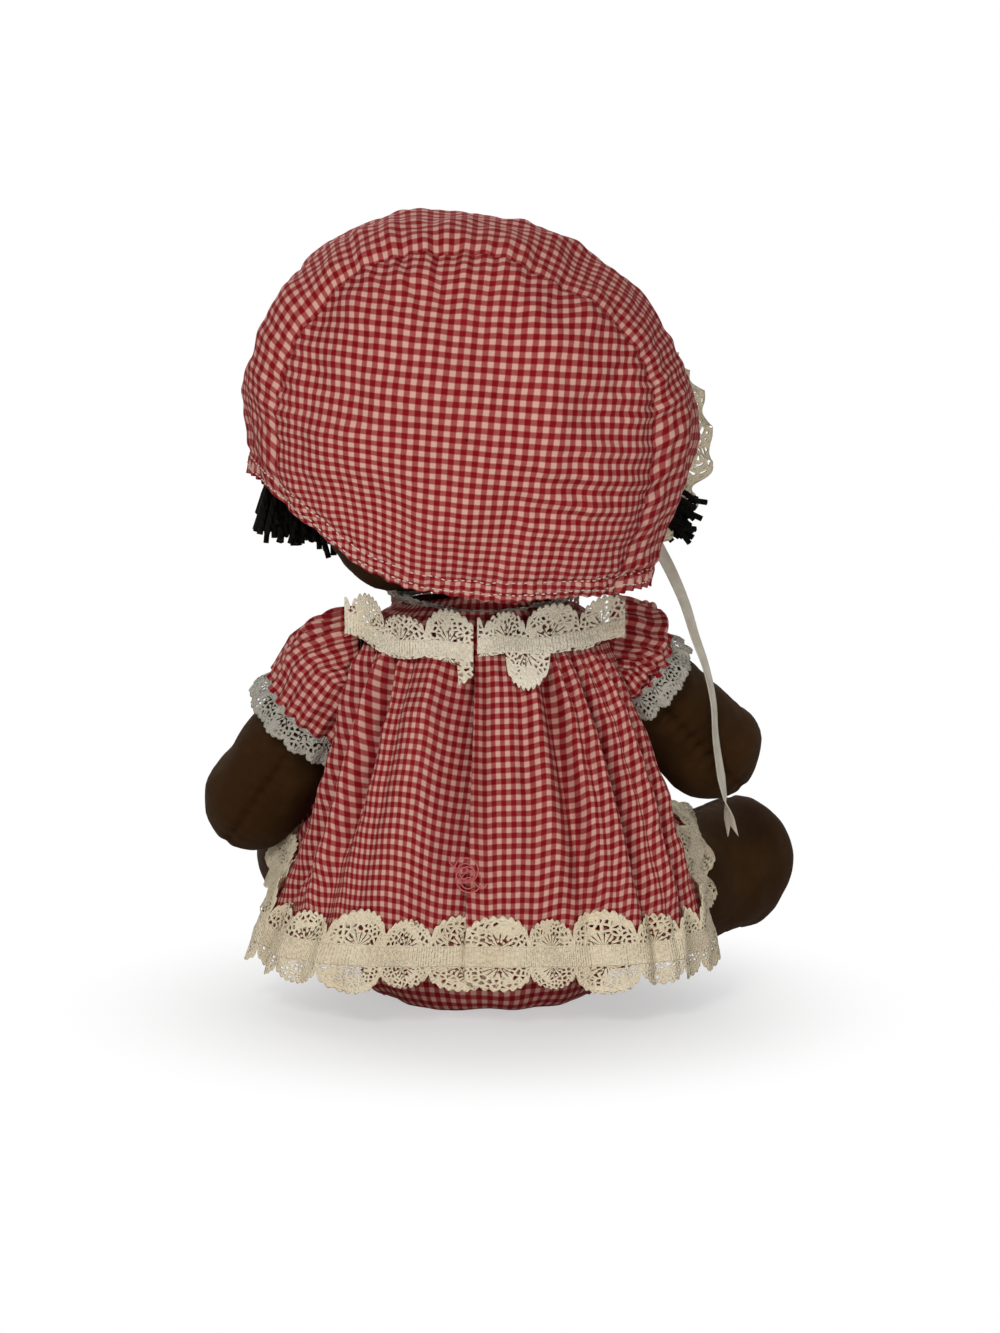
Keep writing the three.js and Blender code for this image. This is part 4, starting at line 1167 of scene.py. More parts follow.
def skirt_plain(share, drop):
    """The skirt without folds, at shares of the way round and down. Past the hem it runs straight on."""
    top, bend, hem = (round_at(ring, share) for ring in (skirt_top, skirt_bend, skirt_hem))
    d = np.minimum(drop, 1)[..., None]
    body = top * (1 - d) ** 2 + 2 * bend * d * (1 - d) + hem * d**2
    return body + 2 * (hem - bend) * (0.4, 1, 1) * np.maximum(drop - 1, 0)[..., None] * 0.8


def skirt_folds(share, drop):
    """How far the folds stand out, in millimetres"""
    wander = 0.42 * np.sin(2 * math.pi * (2 * share + 0.11)) + 0.27 * np.sin(2 * math.pi * (5 * share + 0.4))
    deep = np.cos(2 * math.pi * (15 * share + wander))
    second = np.cos(2 * math.pi * (29 * share + 2.2 * wander + 0.3))
    small = np.cos(2 * math.pi * (58 * share + 3 * wander))
    deep, second = (2 * np.sqrt(0.5 + 0.5 * wave + 0.01) - 1.1 for wave in (deep, second))
    uneven = 0.85 + 0.25 * np.sin(2 * math.pi * (7 * share + 0.1))
    at_back = (0.5 + 0.5 * np.cos(2 * math.pi * share)) * uneven
    grow, calm = smooth(-0.02, 0.22, drop), smooth(0.35, 1.0, drop)
    held = 0.35 + 0.65 * smooth(-0.01, 0.08, drop)
    return ((1.7 + 7.0 * grow - 5.4 * calm) * deep * (0.35 + 0.65 * at_back)
            + (3.8 - 2.8 * calm) * held * second
            + 0.9 * held * small * (1 - smooth(0.05, 0.45, drop)))


def skirt_surface(share, drop, proud):
    """The skirt with its folds and crumples, kept clear of the arms at its upper sides"""
    share, drop = np.broadcast_arrays(np.asarray(share, float), np.asarray(drop, float))
    plain = skirt_plain(share, drop)
    out = outward(plain, SKIRT_MIDDLE)
    crumple = 0.8 * ripple(plain, 17, 71, (1, 1, 2.2)) + 0.45 * ripple(plain, 8, 72, (1, 1, 1.6))
    points = plain + out * (skirt_folds(share, drop) + crumple * smooth(0, 0.2, drop) + proud)[..., None]
    beside = smooth(66, 74, points[..., 2]) * (1 - smooth(-20, -12, points[..., 1]))
    held = np.clip(points[..., 0], -SHOULDER[0] + 0.4, SHOULDER[0] - 0.4)
    points[..., 0] += beside * (held - points[..., 0])
    return points


back_line = skirt_surface(np.zeros((2, 50)) + [[0.0], [0.01]], np.linspace(0, 1, 50)[None], 0.0)[0]
print("the back of the skirt is", round(run_length(back_line)), "mm long")

# %% Skirt with its back opening
OPENING, LAPPED = -0.004, 0.013


def lapped(share):
    """The right edge of the opening lies over the left one"""
    past = np.asarray(share) - OPENING
    return smooth(1 - 0.012, 1 + 0.004, past) * 3.4 - (1 - smooth(0, 0.022, past)) * 2.2


share = OPENING + np.linspace(0, 1 + LAPPED, 460)
drop = np.linspace(0, 1, 96)
skirt_grid = skirt_surface(share[None], drop[:, None], lapped(share)[None])
print("the hem is", round(run_length(skirt_grid[-1])), "mm round, over its folds")

# %% [markdown]
# The skirt widens towards the hem, so its flat coordinates fan out from the opening, which keeps the check
# at nearly one size. Left of the opening the cloth hangs at a slant.

# %% Flat cut of the skirt
SKIRT_FLAT, SKIRT_CUT = 930.0, 130
LEFT_SLANT = math.radians(9)

down = np.cumsum(np.linalg.norm(np.diff(skirt_grid, axis=0), axis=-1), axis=0)
v = np.concatenate([np.zeros((1, len(share))), down])
past = share - OPENING
turned = past - np.round(past)
far_right = smooth(0.04, 0.12, -turned)[None]
lower = drop[:, None]
fan = (0.28 * lower + 0.3 * lower**3 - 0.31) * (1 - far_right) + (0.34 * lower - 0.16) * far_right
fan = fan * (1 - smooth(0.2, 0.5, np.abs(turned)))[None]
u = (past + turned * fan) * SKIRT_FLAT
slant = LEFT_SLANT * (1 - smooth(0.0, 0.17, past))[None]
uv = np.stack([u * np.cos(slant) - v * np.sin(slant), u * np.sin(slant) + v * np.cos(slant)], -1)
skirt = sewn_sheet("skirt_cloth", skirt_grid, uv, gingham_cloth, SKIRT_MIDDLE, thick=0.7)

# %% [markdown]
# Round the hem runs a wide cream galloon: scallops above and below a plain band. The strip follows the
# folds, overlaps the hem and hangs below it.

# %% Galloon strips
SCALLOP_POINTS = 45


def fan_height(phase, fan, seed):
    """How tall the scallops of a galloon stand along it, no two of them quite alike"""
    tall = fan * (0.92 + 0.16 * np.sin(np.floor(phase) * 2.3 + seed))
    return tall * (0.12 + 0.88 * scallop(phase, 1.0, 1.0))


def lace_band(name, surface, share, period, band, fan, finish, middle, count, below, seed=3, shift=0.0):
    """A strip of galloon on a surface; below gives the share of each lower scallop that shows"""
    line = surface(share[None], np.array([[0.0], [1.0]]), 0.0)[0]
    run = run_along(line)
    even = count * run / run[-1]
    print(name, round(run[-1]), "mm of galloon")
    phase = even + 0.09 * np.sin(even * 2.1 + seed) + 0.05 * np.sin(even * 3.7 + 2 * seed)
    picots = 1.7 * np.abs(np.sin(phase * (8 * math.pi)))
    upper, lower = (0.8 + fan_height(phase + moved, fan, seed) + picots for moved in (0, shift))
    half = np.linspace(0.002, 1, 13)
    level = np.concatenate([-half[::-1], half])[:, None]
    across = level * (band + np.where(level < 0, upper[None], lower * below(phase + shift)))
    grid = surface(share[None], across, np.sin(2 * math.pi * phase)[None] * np.abs(level))
    uv = np.stack(np.broadcast_arrays((phase + np.where(level > 0, shift, 0)) * period, across), -1)
    return sewn_sheet(name, grid, uv, finish, middle, thick=0.4)


# %% Hem lace
HEM_SCALLOPS, SKIRT_DOWN = 27, 128.0


def hem_surface(share, down, ruffle):
    """The skirt beside its hem: the lace stands a little proud, and its lower scallops wave"""
    proud = 1.3 + lapped(share) + 0.1 * np.maximum(-down, 0) + 1.1 * ruffle * (down > 0)
    return skirt_surface(share, 1 + (down - 1.5) / SKIRT_DOWN, proud)


def hem_below(phase):
    """The lower scallops are short at the left, where the hem passes over the leg"""
    return 1 - 0.7 * smooth(5.5, 6.5, phase) * (1 - smooth(8.7, 10.3, phase))


share = OPENING + np.linspace(0, 1 + LAPPED, HEM_SCALLOPS * SCALLOP_POINTS + 1)
hem_lace = lace_band("hem_galloon", hem_surface, share, HEM_SCALLOP, HEM_BAND, HEM_FAN, galloon, SKIRT_MIDDLE,
                     HEM_SCALLOPS, hem_below)
sewn_on(hem_lace, "torso", "hem_lace")
gingham_sheet(skirt, "torso", "dress_skirt", SKIRT_CUT)

# %% [markdown]
# ## Yoke, collar and yoke lace
# The yoke is a shaped ring of gingham from the seam up to the neckline. A narrower galloon covers the seam
# across the back in two halves, one each side of the opening, and across the front; its ends turn up over
# the shoulders. A small white lace frill stands round the neck.

# %% Yoke
YOKE_KEYS = [(32.6, 28.6, 160), (45.3, 34.5, 152.75), (47.6, 35.6, 145.5)]
YOKE_ROWS, YOKE_MIDDLE = 24, (0, BODY_Y, 150)
YOKE_RADIUS, YOKE_CUT = 46, 22

grid, turn = ellipses(YOKE_KEYS, YOKE_ROWS, 220)
out = outward(grid, YOKE_MIDDLE, True)
fullness = 0.35 * np.cos(turn * 44)[None] * np.linspace(0, 1, YOKE_ROWS)[:, None]
grid += out * (0.5 * ripple(grid, 16, 81) + fullness)[..., None]
at_back = np.exp(-(((turn - math.pi / 2) / 0.85) ** 2))
grid[..., 2] += 7.5 * at_back[None] * np.linspace(1, 0, YOKE_ROWS)[:, None] ** 1.3
yoke = sewn_sheet("yoke_cloth", grid, tube_uv(grid, YOKE_RADIUS), gingham_cloth, YOKE_MIDDLE, wraps=True)

# %% Yoke lace
YOKE_SCALLOPS = 3
BACK_ROUTE = [(-8, 12.0), (0, 12.2), (14, 11.0), (26, 7.4), (35, 1.8), (42, -4), (48.5, -6.2), (55.5, -5.0)]
FRONT_ROUTE = [(-8, -62.0), (0, -62.2), (14, -61.0), (26, -57.4), (34.5, -52), (38, -48.5)]


def yoke_trim(name, route, side, first, level, end_rise, below, node, seed, shift=0.0):
    """A length of galloon that stands up along the yoke seam and turns up at its outer end"""
    line = np.array(route, float) * (side, 1)
    run = run_along(line)

    def surface(along, down, ruffle):
        x, y = (np.interp(along, run, line[:, k]) for k in (0, 1))
        out = 1.4 + 0.16 * np.maximum(-down - 3, 0) + 0.55 * np.maximum(down + 1, 0) + 0.9 * ruffle
        out = out * np.sign(y - BODY_Y)
        turned_up = end_rise * smooth(run[-1] - 20, run[-1], along)
        z = level - 0.96 * down + turned_up + 0.6 * np.sin(along / 5 + seed)
        return np.stack(np.broadcast_arrays(x, y + out, z), -1)

    along = np.linspace(first, run[-1], YOKE_SCALLOPS * SCALLOP_POINTS + 1)
    trim = lace_band(name, surface, along, YOKE_SCALLOP, YOKE_BAND, YOKE_FAN, narrow_galloon,
                     (0, BODY_Y, 140), YOKE_SCALLOPS, below, seed, shift)
    sewn_on(trim, "torso", node)
    return trim


def back_left_below(phase):
    """The lower scallops hardly show, apart from the start of the first one, beside the opening"""
    return 0.15 + 0.6 * (phase < 0.3)


def back_right_below(phase):
    """The lower scallops hardly show, apart from one near the middle"""
    return 0.15 + 0.85 * ((phase > 1) & (phase < 2))


def front_below(phase):
    """Most of each lower scallop shows"""
    return 0.8


yoke_trims = [
    yoke_trim("yoke_galloon_back_left", BACK_ROUTE, 1, first=12.5, level=147.0, end_rise=7.0,
              below=back_left_below, node="yoke_lace_back", seed=2),
    yoke_trim("yoke_galloon_back_right", BACK_ROUTE, -1, first=5.0, level=149.0, end_rise=5.0,
              below=back_right_below, node="yoke_lace_back", seed=5, shift=0.5),
    yoke_trim("yoke_galloon_front_left", FRONT_ROUTE, 1, first=7.5, level=147.0, end_rise=4.0,
              below=front_below, node="yoke_lace_front", seed=1),
    yoke_trim("yoke_galloon_front_right", FRONT_ROUTE, -1, first=7.5, level=147.0, end_rise=4.0,
              below=front_below, node="yoke_lace_front", seed=4),
]

# %% Collar frill
COLLAR_Z, COLLAR_WIDTH, COLLAR_OVAL = 160.3, 8.0, 0.9
UPRIGHT = (0, -1e-6, 1.0)


def collar_centre(down):
    """The collar stands up, leaning out, so its rings rise by less than the lace is wide"""
    return np.array([0, BODY_Y, COLLAR_Z]) + down[..., None] * np.array([0, 0, 0.82])


def low_at_back(turn):
    """The frill is pressed down at the back, under the bonnet"""
    return 1 - 0.75 * np.exp(-(((turn - math.pi / 2) / 0.75) ** 2))


collar = lace_ring(
    "collar_frill", collar_centre, UPRIGHT, lambda share: 32.0 + 7.5 * share, count=22, width=COLLAR_WIDTH,
    deep=2.6, middle=YOKE_MIDDLE, body="torso", node="collar_lace", seed=5, tuck=low_at_back)
points = mesh_points(collar)
points[:, 1] = (points[:, 1] - BODY_Y * MM) * COLLAR_OVAL + BODY_Y * MM
set_points(collar, points)
gingham_sheet(yoke, "torso", "dress_yoke", YOKE_CUT)

# %% [markdown]
# ## Sleeves
# Each sleeve is a short puff: gathered into the armhole, full in the middle, drawn in at the cuff and edged
# with white lace. The right one has been pushed up the arm, so its cloth lies in rolls.

# %% Sleeves
SLEEVES = {"left": (32.0, 25.0, 0.0), "right": (14.0, 21.4, 1.3)}
SLEEVE_LACE, SLEEVE_CUT = 11.0, 33.0
SLEEVE_SHARES = [0, 0.1, 0.22, 0.5, 0.8, 1]
SLEEVE_SWELL = np.array([15.5, 18.5, 22.5, 25.2, 24.6, 24.0])
SLEEVE_RINGS, TURNED_RINGS = 70, 8

for name, (side, out_by, drop_by) in ARMS.items():
    length, full, rolls = SLEEVES[name]
    root, along, _, flat = arm_line(side, out_by, drop_by)
    share = np.concatenate([np.linspace(0, 1, SLEEVE_RINGS), np.ones(TURNED_RINGS)])
    radius = np.interp(share, SLEEVE_SHARES, SLEEVE_SWELL + full - 25)
    radius[:8] = np.maximum(radius[:8], 15.2)
    radius[SLEEVE_RINGS:] = np.linspace(full - 1.4, full - 2.6, TURNED_RINGS)
    axes = turned_in(share * 1.6, flat, along)
    centres = root + along * (share * length)[:, None]
    grid, turn = rings(centres, axes, radius, 200)
    away = grid - centres[:, None]
    away /= np.linalg.norm(away, axis=-1, keepdims=True)
    far = (share * length)[:, None]
    gather = (1.5 * np.cos(turn * 22 + 2 * np.sin(turn * 3)) * np.exp(-far / 16)
              + 1.3 * np.cos(turn * 20 + np.sin(turn * 4)) * np.exp(-(length - far) / 12))
    rolled = rolls * np.cos(far * (2 * math.pi / 8.5) + np.sin(turn * 2))
    puff = 1.1 * ripple(grid, 15, 91 + side, (1, 1, 1.5)) + rolled
    grid += away * (gather + puff * smooth(0, 5, far) * smooth(0, 4, length - far + 1.5))[..., None]
    if side < 0:
        grid[..., 2] += 6.0 * smooth(0.2, 0.9, away[..., 2]) * np.exp(-(((far - 4) / 9) ** 2))
    armhole = SHOULDER[0] + 0.25
    grid[..., 0] = side * np.maximum(side * grid[..., 0], armhole)
    uv = tube_uv(grid, SLEEVE_CUT)
    puffed = sewn_sheet(f"{name}_sleeve_cloth", grid, uv, gingham_cloth, root + along * 20, wraps=True)
    cuff_at = root + along * (length - 1.0)
    frill = lace_ring(
        f"{name}_sleeve_frill", lambda down: cuff_at + down[..., None] * along, along,
        lambda share: full - 1.8 + 3.4 * smooth(0, 1, share), count=15, width=SLEEVE_LACE, deep=1.8,
        middle=root, body=f"{name}_arm", node=f"{name}_sleeve_lace", seed=7)
    points = mesh_points(frill)
    points[:, 0] = side * np.maximum(side * points[:, 0], armhole * MM)
    set_points(frill, points)
    gingham_sheet(puffed, f"{name}_arm", f"{name}_sleeve", length + 8)

# %% [markdown]
# ## The sewn snap
# Low on the opening a snap has been sewn on with pinkish thread, over and over, so that it shows as a swirl
# of loops. It is one long strand that winds round and round, wandering a little, with two loose ends.

# %% Snap swirl
SNAP_X, SNAP_Z, SNAP_LOOPS = 7.0, 60.5, 7
LOOSE_ENDS = ([(4, 0, 3), (6.5, 0.4, 5), (7, 0.3, 8)], [(-3, 0, -3), (-6, 0.6, -5), (-8, 0.3, -3)])

back = skirt_grid.reshape(-1, 3)
near = (np.abs(back[:, 0] - SNAP_X) < 8) & (np.abs(back[:, 2] - SNAP_Z) < 8) & (back[:, 1] > 0)
snap_y = back[near, 1].max()
wind = np.linspace(0, SNAP_LOOPS * 2 * math.pi, 500)
radius = 3.0 + 1.9 * np.sin(wind * 0.29 + 1) + 0.9 * np.sin(wind * 0.83)
drift = np.stack([1.5 * np.sin(wind * 0.21), np.zeros(len(wind)), 1.7 * np.cos(wind * 0.17)], -1)
across, up = SNAP_X + radius * np.cos(wind), SNAP_Z + radius * np.sin(wind)
coil = np.stack([across, snap_y + 0.9 + 0.6 * np.sin(wind * 0.53), up], -1)
snap_middle = np.array([SNAP_X, snap_y + 0.9, SNAP_Z])
tails = [spline(snap_middle + np.array(route, float), 24) for route in LOOSE_ENDS]
snap = along_lines("placket_snap_thread", STRANDS, [coil + drift, *tails], pink_thread, Radius=0.25)
sewn_on(snap, "torso", "placket_snap")

# %% [markdown]
# ## The bonnet
# The bonnet is a puffed cap of two pieces: a crown panel at the back and a band that runs over the top and
# down both cheeks to the lace-edged front. The seam between them is gathered, which puckers the cloth on
# both sides of it, and along the lower edge a stitched casing holds the ribbon. Both pieces lie on the same
# dome as the CAD bonnet and are pushed in and out by the puckers and soft wrinkles.

# %% Bonnet dome
BONNET = np.array([7.0, -5.0, 240.0])
BONNET_HALF, BONNET_BACK, BONNET_FRONT, BONNET_RISE, BONNET_DROP = 88.0, 60.0, 85.0, 77.0, 120.0
SEAM_Y, FRONT_Y, FRONT_LEAN = 26.0, -44.0, 0.16
CHEEK_RISE = [
    (0, 0), (15, 1.5), (26, 4.0), (40, 8.5), (48, 12.3),
    (55, 17), (62, 22.5), (70, 29), (80, 36), (150, 78),
]
TOP_LEAN = 0.10


def hem_height(x):
    """The height of the lower edge, which rises towards the left cheek"""
    return BONNET_HEM_Z + np.interp(x, *np.transpose(CHEEK_RISE))


def dome_section(turn, y):
    """Points on the dome at an angle round it and a distance along Y"""
    turn, y = np.broadcast_arrays(turn, y)
    b = (y - BONNET[1]) / np.where(y > BONNET[1], BONNET_BACK, BONNET_FRONT)
    r = np.sqrt(np.maximum(1 - b**2, 0))
    high = np.where(np.sin(turn) > 0, BONNET_RISE, BONNET_DROP)
    x = BONNET_HALF * r * np.cos(turn)
    lean = TOP_LEAN * x * smooth(0, 1, np.sin(turn))
    return np.stack([BONNET[0] + x, y, BONNET[2] + high * r * np.sin(turn) + lean], -1)


def hem_angles(y):
    """Where the lower edge cuts the dome, at the left cheek and at the right one, for a distance along Y"""
    left, right = np.linspace(-math.pi / 2, 0.4, 700), np.linspace(1.5 * math.pi, math.pi - 0.4, 700)
    found = []
    for turns in (left, right):
        p = dome_section(turns, np.full(turns.shape, y))
        above = p[:, 2] - hem_height(p[:, 0])
        found.append(np.interp(0, above, turns))
    return found


def puckers(run, away, seed):
    """Gathers beside the seam: run is how far along it, and away how far from it, in millimetres"""
    wander = 1.3 * np.sin(run / 23 + seed) + 0.8 * np.sin(run / 11 + 2 * seed)
    fine = np.cos(run * (2 * math.pi / 7.5) + wander)
    wide = np.cos(run * (2 * math.pi / 17) + 1.7 * wander)
    groove = -1.5 * np.exp(-((away / 4.0) ** 2))
    return groove + 0.7 * fine * np.exp(-away / 9) + 0.8 * wide * np.exp(-away / 24)


print("bonnet is", 2 * BONNET_HALF, "mm wide")


# %% Bonnet wrinkles
def slack(points, seed):
    """Soft dents and wrinkles of a cap that is filled with nothing but hair"""
    return (2.0 * ripple(points, 52, seed) + 0.9 * ripple(points, 21, seed + 1, (1, 1, 1.5))
            + 0.35 * ripple(points, 9, seed + 2))


def casing(points):
    """The drawn-up lower edge: fine gathers that fade a centimetre above the hem"""
    up = points[..., 2] - hem_height(points[..., 0])
    around = points[..., 0] + 0.7 * points[..., 1]
    fine = np.cos(around * (2 * math.pi / 6.2) + np.sin(around / 9))
    return 0.8 * fine * np.exp(-up / 11) - 1.1 * np.exp(-((up - 7.5) / 1.6) ** 2)


def creases(points):
    """Slanting creases low on the right of the crown, where the hem casing draws the cloth in"""
    spot = np.exp(-(((points[..., 0] + 36) / 24) ** 2) - ((points[..., 2] - 211) / 17) ** 2)
    slant = 0.36 * points[..., 0] - 0.93 * points[..., 2]
    return 1.5 * spot * np.cos(slant * (2 * math.pi / 11) + 1.5 * np.sin(points[..., 0] / 13))


print("a wrinkle at the bonnet's middle stands out", round(float(slack(BONNET, 101)), 2), "mm")

# %% Bonnet crown
SEAM_POINTS, HEM_POINTS, CROWN_ROWS = 300, 100, 90
BONNET_THICK, CROWN_CUT, BAND_CUT = 0.7, 190, 90

left_end, right_end = hem_angles(SEAM_Y)
seam_turn = np.linspace(left_end, right_end, SEAM_POINTS)
seam_line = dome_section(seam_turn, np.full(SEAM_POINTS, SEAM_Y))
hem_x = np.linspace(seam_line[-1, 0], seam_line[0, 0], HEM_POINTS + 2)[1:-1]
hem_line = np.stack([hem_x, np.full(HEM_POINTS, SEAM_Y), hem_height(hem_x)], -1)
rim = np.concatenate([seam_line, hem_line])
along_rim = run_along(rim)
middle = np.array([BONNET[0], SEAM_Y, 236.0])
rho = np.linspace(0.004, 1, CROWN_ROWS)[:, None, None]
flat = middle + rho * (rim - middle)[None]
side = (flat[..., 0] - BONNET[0]) / BONNET_HALF
dome_height = np.where(flat[..., 2] > BONNET[2], BONNET_RISE, BONNET_DROP)
rise = (flat[..., 2] - BONNET[2]) / dome_height
flat[..., 1] = BONNET[1] + BONNET_BACK * np.sqrt(np.maximum(1 - side**2 - rise**2, 0))
out = outward(flat, BONNET, True)
crown_away = (1 - rho[..., 0]) * np.linalg.norm(rim - middle, axis=1)[None]
on_seam = np.concatenate([np.ones(SEAM_POINTS), np.zeros(HEM_POINTS)])
eased = np.convolve(np.tile(on_seam, 3), np.ones(25) / 25, "same")
at_seam = eased[None, len(rim):2 * len(rim)]
gathers = puckers(along_rim[None], crown_away, 1.0) * at_seam
change = gathers + slack(flat, 101) + casing(flat) + creases(flat)
crown_grid = flat + out * change[..., None]
seam_length = along_rim[SEAM_POINTS - 1]
print("crown seam is", round(seam_length), "mm long")

# %% [markdown]
# The crown is cut flat and drawn in at its lower edge, so the check gets smaller towards the hem. Its flat
# coordinates are the dome's own arcs, pulled together low down and turned a little.

# %% Flat cut of the crown
CROWN_TILT = math.radians(5)

wide = 0.9 * BONNET_HALF * np.arcsin(np.clip(side, -1, 1))
tall = 0.9 * dome_height * np.arcsin(np.clip(rise, -1, 1))
low = np.maximum(-tall, 0)
drawn = smooth(0, 60, low)
tall = tall - low * (0.04 + 0.0026 * low + 0.25 * smooth(10, 50, wide))
wide = wide * (1 + 0.17 * drawn) + 0.005 * drawn * np.maximum(wide - 15, 0) ** 2
u = wide * math.cos(CROWN_TILT) + tall * math.sin(CROWN_TILT)
v = tall * math.cos(CROWN_TILT) - wide * math.sin(CROWN_TILT)
crown_uv = np.stack([u, v], -1)
crown_uv = np.concatenate([crown_uv, crown_uv[:, :1]], axis=1)
print("the check runs over", round(np.ptp(u)), "by", round(np.ptp(v)), "mm of the crown")

# %% Bonnet band
BAND_ROWS, BAND_COLUMNS = 90, 460

to_front = np.linspace(0, 1, BAND_ROWS)[:, None]
around = np.linspace(0, 1, BAND_COLUMNS)[None]
y = np.full((BAND_ROWS, BAND_COLUMNS), SEAM_Y) - to_front * 70
for _ in range(4):
    ends = np.array([hem_angles(value) for value in y.mean(axis=1)])
    turn = ends[:, :1] + around * (ends[:, 1:] - ends[:, :1])
    plain = dome_section(turn, y)
    front = FRONT_Y - FRONT_LEAN * (plain[..., 2] - BONNET[2])
    y = SEAM_Y + to_front * (front - SEAM_Y)
plain = dome_section(turn, y)
out = outward(plain, BONNET)
run = np.linspace(0, seam_length, BAND_COLUMNS)[None]
deep = np.abs(front - SEAM_Y)
band_away = to_front * deep
edge_gathers = 0.9 * np.cos(run * (2 * math.pi / 8.5) + np.sin(run / 13))
edge_pull = edge_gathers * np.exp(-(deep - band_away) / 9)
flare = smooth(0.45, 1, to_front) * np.exp(-(((plain[..., 2] - 226) / 30) ** 2)) * (plain[..., 0] < 0)
change = puckers(run, band_away, 1.0) + slack(plain, 111) + casing(plain) + edge_pull + 9.0 * flare
band_grid = plain + out * change[..., None]
band_uv = np.stack(np.broadcast_arrays(run * 1.02, -band_away), -1)
print("band is", round(deep.min()), "to", round(deep.max()), "mm deep")


# %% Crown and band meet at the seam
def at_shares(line, count):
    """A line of points read again at an even number of shares along it"""
    old, new = np.linspace(0, 1, len(line)), np.linspace(0, 1, count)
    return np.stack([np.interp(new, old, line[:, k]) for k in range(3)], -1)


crown_seam = crown_grid[-1, :SEAM_POINTS]
joined = (crown_seam + at_shares(band_grid[0], SEAM_POINTS)) / 2
shift = np.zeros((crown_grid.shape[1], 3))
shift[:SEAM_POINTS] = joined - crown_seam
shift[SEAM_POINTS:] = np.linspace(shift[SEAM_POINTS - 1], shift[0], HEM_POINTS)
crown_grid += shift[None] * np.exp(-crown_away / 9)[..., None]
band_shift = at_shares(joined, BAND_COLUMNS) - band_grid[0]
band_grid += band_shift[None] * np.exp(-band_away / 9)[..., None]
crown = sewn_sheet("bonnet_crown_cloth", crown_grid, crown_uv, gingham_cloth, BONNET, BONNET_THICK,
                   wraps=True)
band = sewn_sheet("bonnet_band_cloth", band_grid, band_uv, gingham_cloth, BONNET, BONNET_THICK)

# %% [markdown]
# A narrow cream lace is sewn along the band's front edge and flares a little round the face.

# %% Bonnet lace
LACE_SCALLOPS, LACE_REACH, LACE_DEEP = 40, 11.0, 2.4

columns = LACE_SCALLOPS * 14 + 1
edge, inner = (at_shares(band_grid[row], columns) for row in (-1, -8))
forward = edge - inner
forward /= np.linalg.norm(forward, axis=1, keepdims=True)
spread = edge - np.array([BONNET[0], 0, 225.0])
spread[:, 1] = 0
spread /= np.linalg.norm(spread, axis=1, keepdims=True)
run = run_along(edge)
reach = LACE_REACH - LACE_DEEP + scallop(np.linspace(0, LACE_SCALLOPS, columns), 1.0, LACE_DEEP)
share = np.linspace(0, 1, 12)[:, None]
showing = np.exp(-(((edge[:, 2] - 226) / 34) ** 2)) * (edge[:, 0] < 0)
wave = 1.1 * np.sin(np.linspace(0, LACE_SCALLOPS * 2 * math.pi, columns) + np.sin(run / 31))
grid = (edge + forward * (share * reach - 1.5 * (1 - share))[..., None]
        + spread * (share * (4.0 + 9.0 * showing + 1.6 * wave) + 0.9)[..., None])
along_lace = np.linspace(0, LACE_SCALLOPS * EDGE_SCALLOP, columns)
uv = np.stack(np.broadcast_arrays(along_lace[None], share * reach), -1)
face_lace = sewn_sheet("bonnet_edge_lace", grid, uv, edge_lace, BONNET, LACE_THICK)
sewn_on(face_lace, "head", "bonnet_lace")

# %% [markdown]
# Running stitches hold the casing: two rows along the lower edge.

# %% Bonnet stitches
STITCH_ROWS = (3.0, 7.5)


def stitch_line(grid, above):
    """The line on a cloth grid at a height above the bonnet's lower edge, outside the cloth"""
    points = grid.reshape(-1, 3)
    up = points[:, 2] - hem_height(points[:, 0])
    out = outward(grid, BONNET).reshape(-1, 3)
    near = np.abs(up - above) < 0.6
    found = points[near] + out[near] * 0.15
    order = np.argsort(np.arctan2(found[:, 1] - BONNET[1], found[:, 0] - BONNET[0]))
    return found[order]


def thinned(line, gap=2.5, leap=9.0):
    """Keeps points a small gap apart and breaks the line where it leaps"""
    lines, current = [], [line[0]]
    for point in line[1:]:
        far = np.linalg.norm(point - current[-1])
        if far > leap:
            lines.append(np.array(current))
            current = [point]
        elif far > gap:
            current.append(point)
    lines.append(np.array(current))
    return [part for part in lines if len(part) > 3]


stitch_lines = []
for above in STITCH_ROWS:
    for grid in (crown_grid, band_grid):
        stitch_lines += thinned(stitch_line(grid, above))
casing_stitches = along_lines("bonnet_casing_stitches", STITCHES, stitch_lines, pale_thread,
                              Pitch=2.6, Length=1.9, Radius=0.28)
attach(casing_stitches, "head")
gingham_sheet(crown, "head", "bonnet_crown", CROWN_CUT)
gingham_sheet(band, "head", "bonnet_band", BAND_CUT)

# %% [markdown]
# ## Yarn hair
# Under the bonnet the hair is cut black yarn. It shows as a fringe over the forehead and as tufts that stick
# out at both cheeks. Each strand is a short bent line, and the strand tree makes them round.

# %% Hair
FRINGE_STRANDS, LEFT_STRANDS, RIGHT_STRANDS = 130, 150, 70
rng = np.random.default_rng(5)


def on_head(direction, proud):
    """A point on the head in a direction from its middle, a little outside the cotton"""
    direction = direction / np.linalg.norm(direction)
    return HEAD + direction * (HEAD_SIZE + proud)


def fringe_strand(turn):
    """One strand that comes out from under the bonnet and lies on the forehead or the temple"""
    start = np.array([math.cos(turn), -0.42 + 0.05 * rng.normal(), math.sin(turn)])
    swing = turn + 0.08 * rng.normal()
    tip = np.array([math.cos(swing) * 0.86, -0.80 + 0.06 * rng.normal(), math.sin(turn) * 0.86])
    bend = (start + tip) / 2 + 0.05 * rng.normal(size=3)
    depth = rng.uniform(1.2, 5.0)
    return spline([on_head(start, depth), on_head(bend, depth + 1.5), on_head(tip, depth * 0.6 + 0.6)], 8)


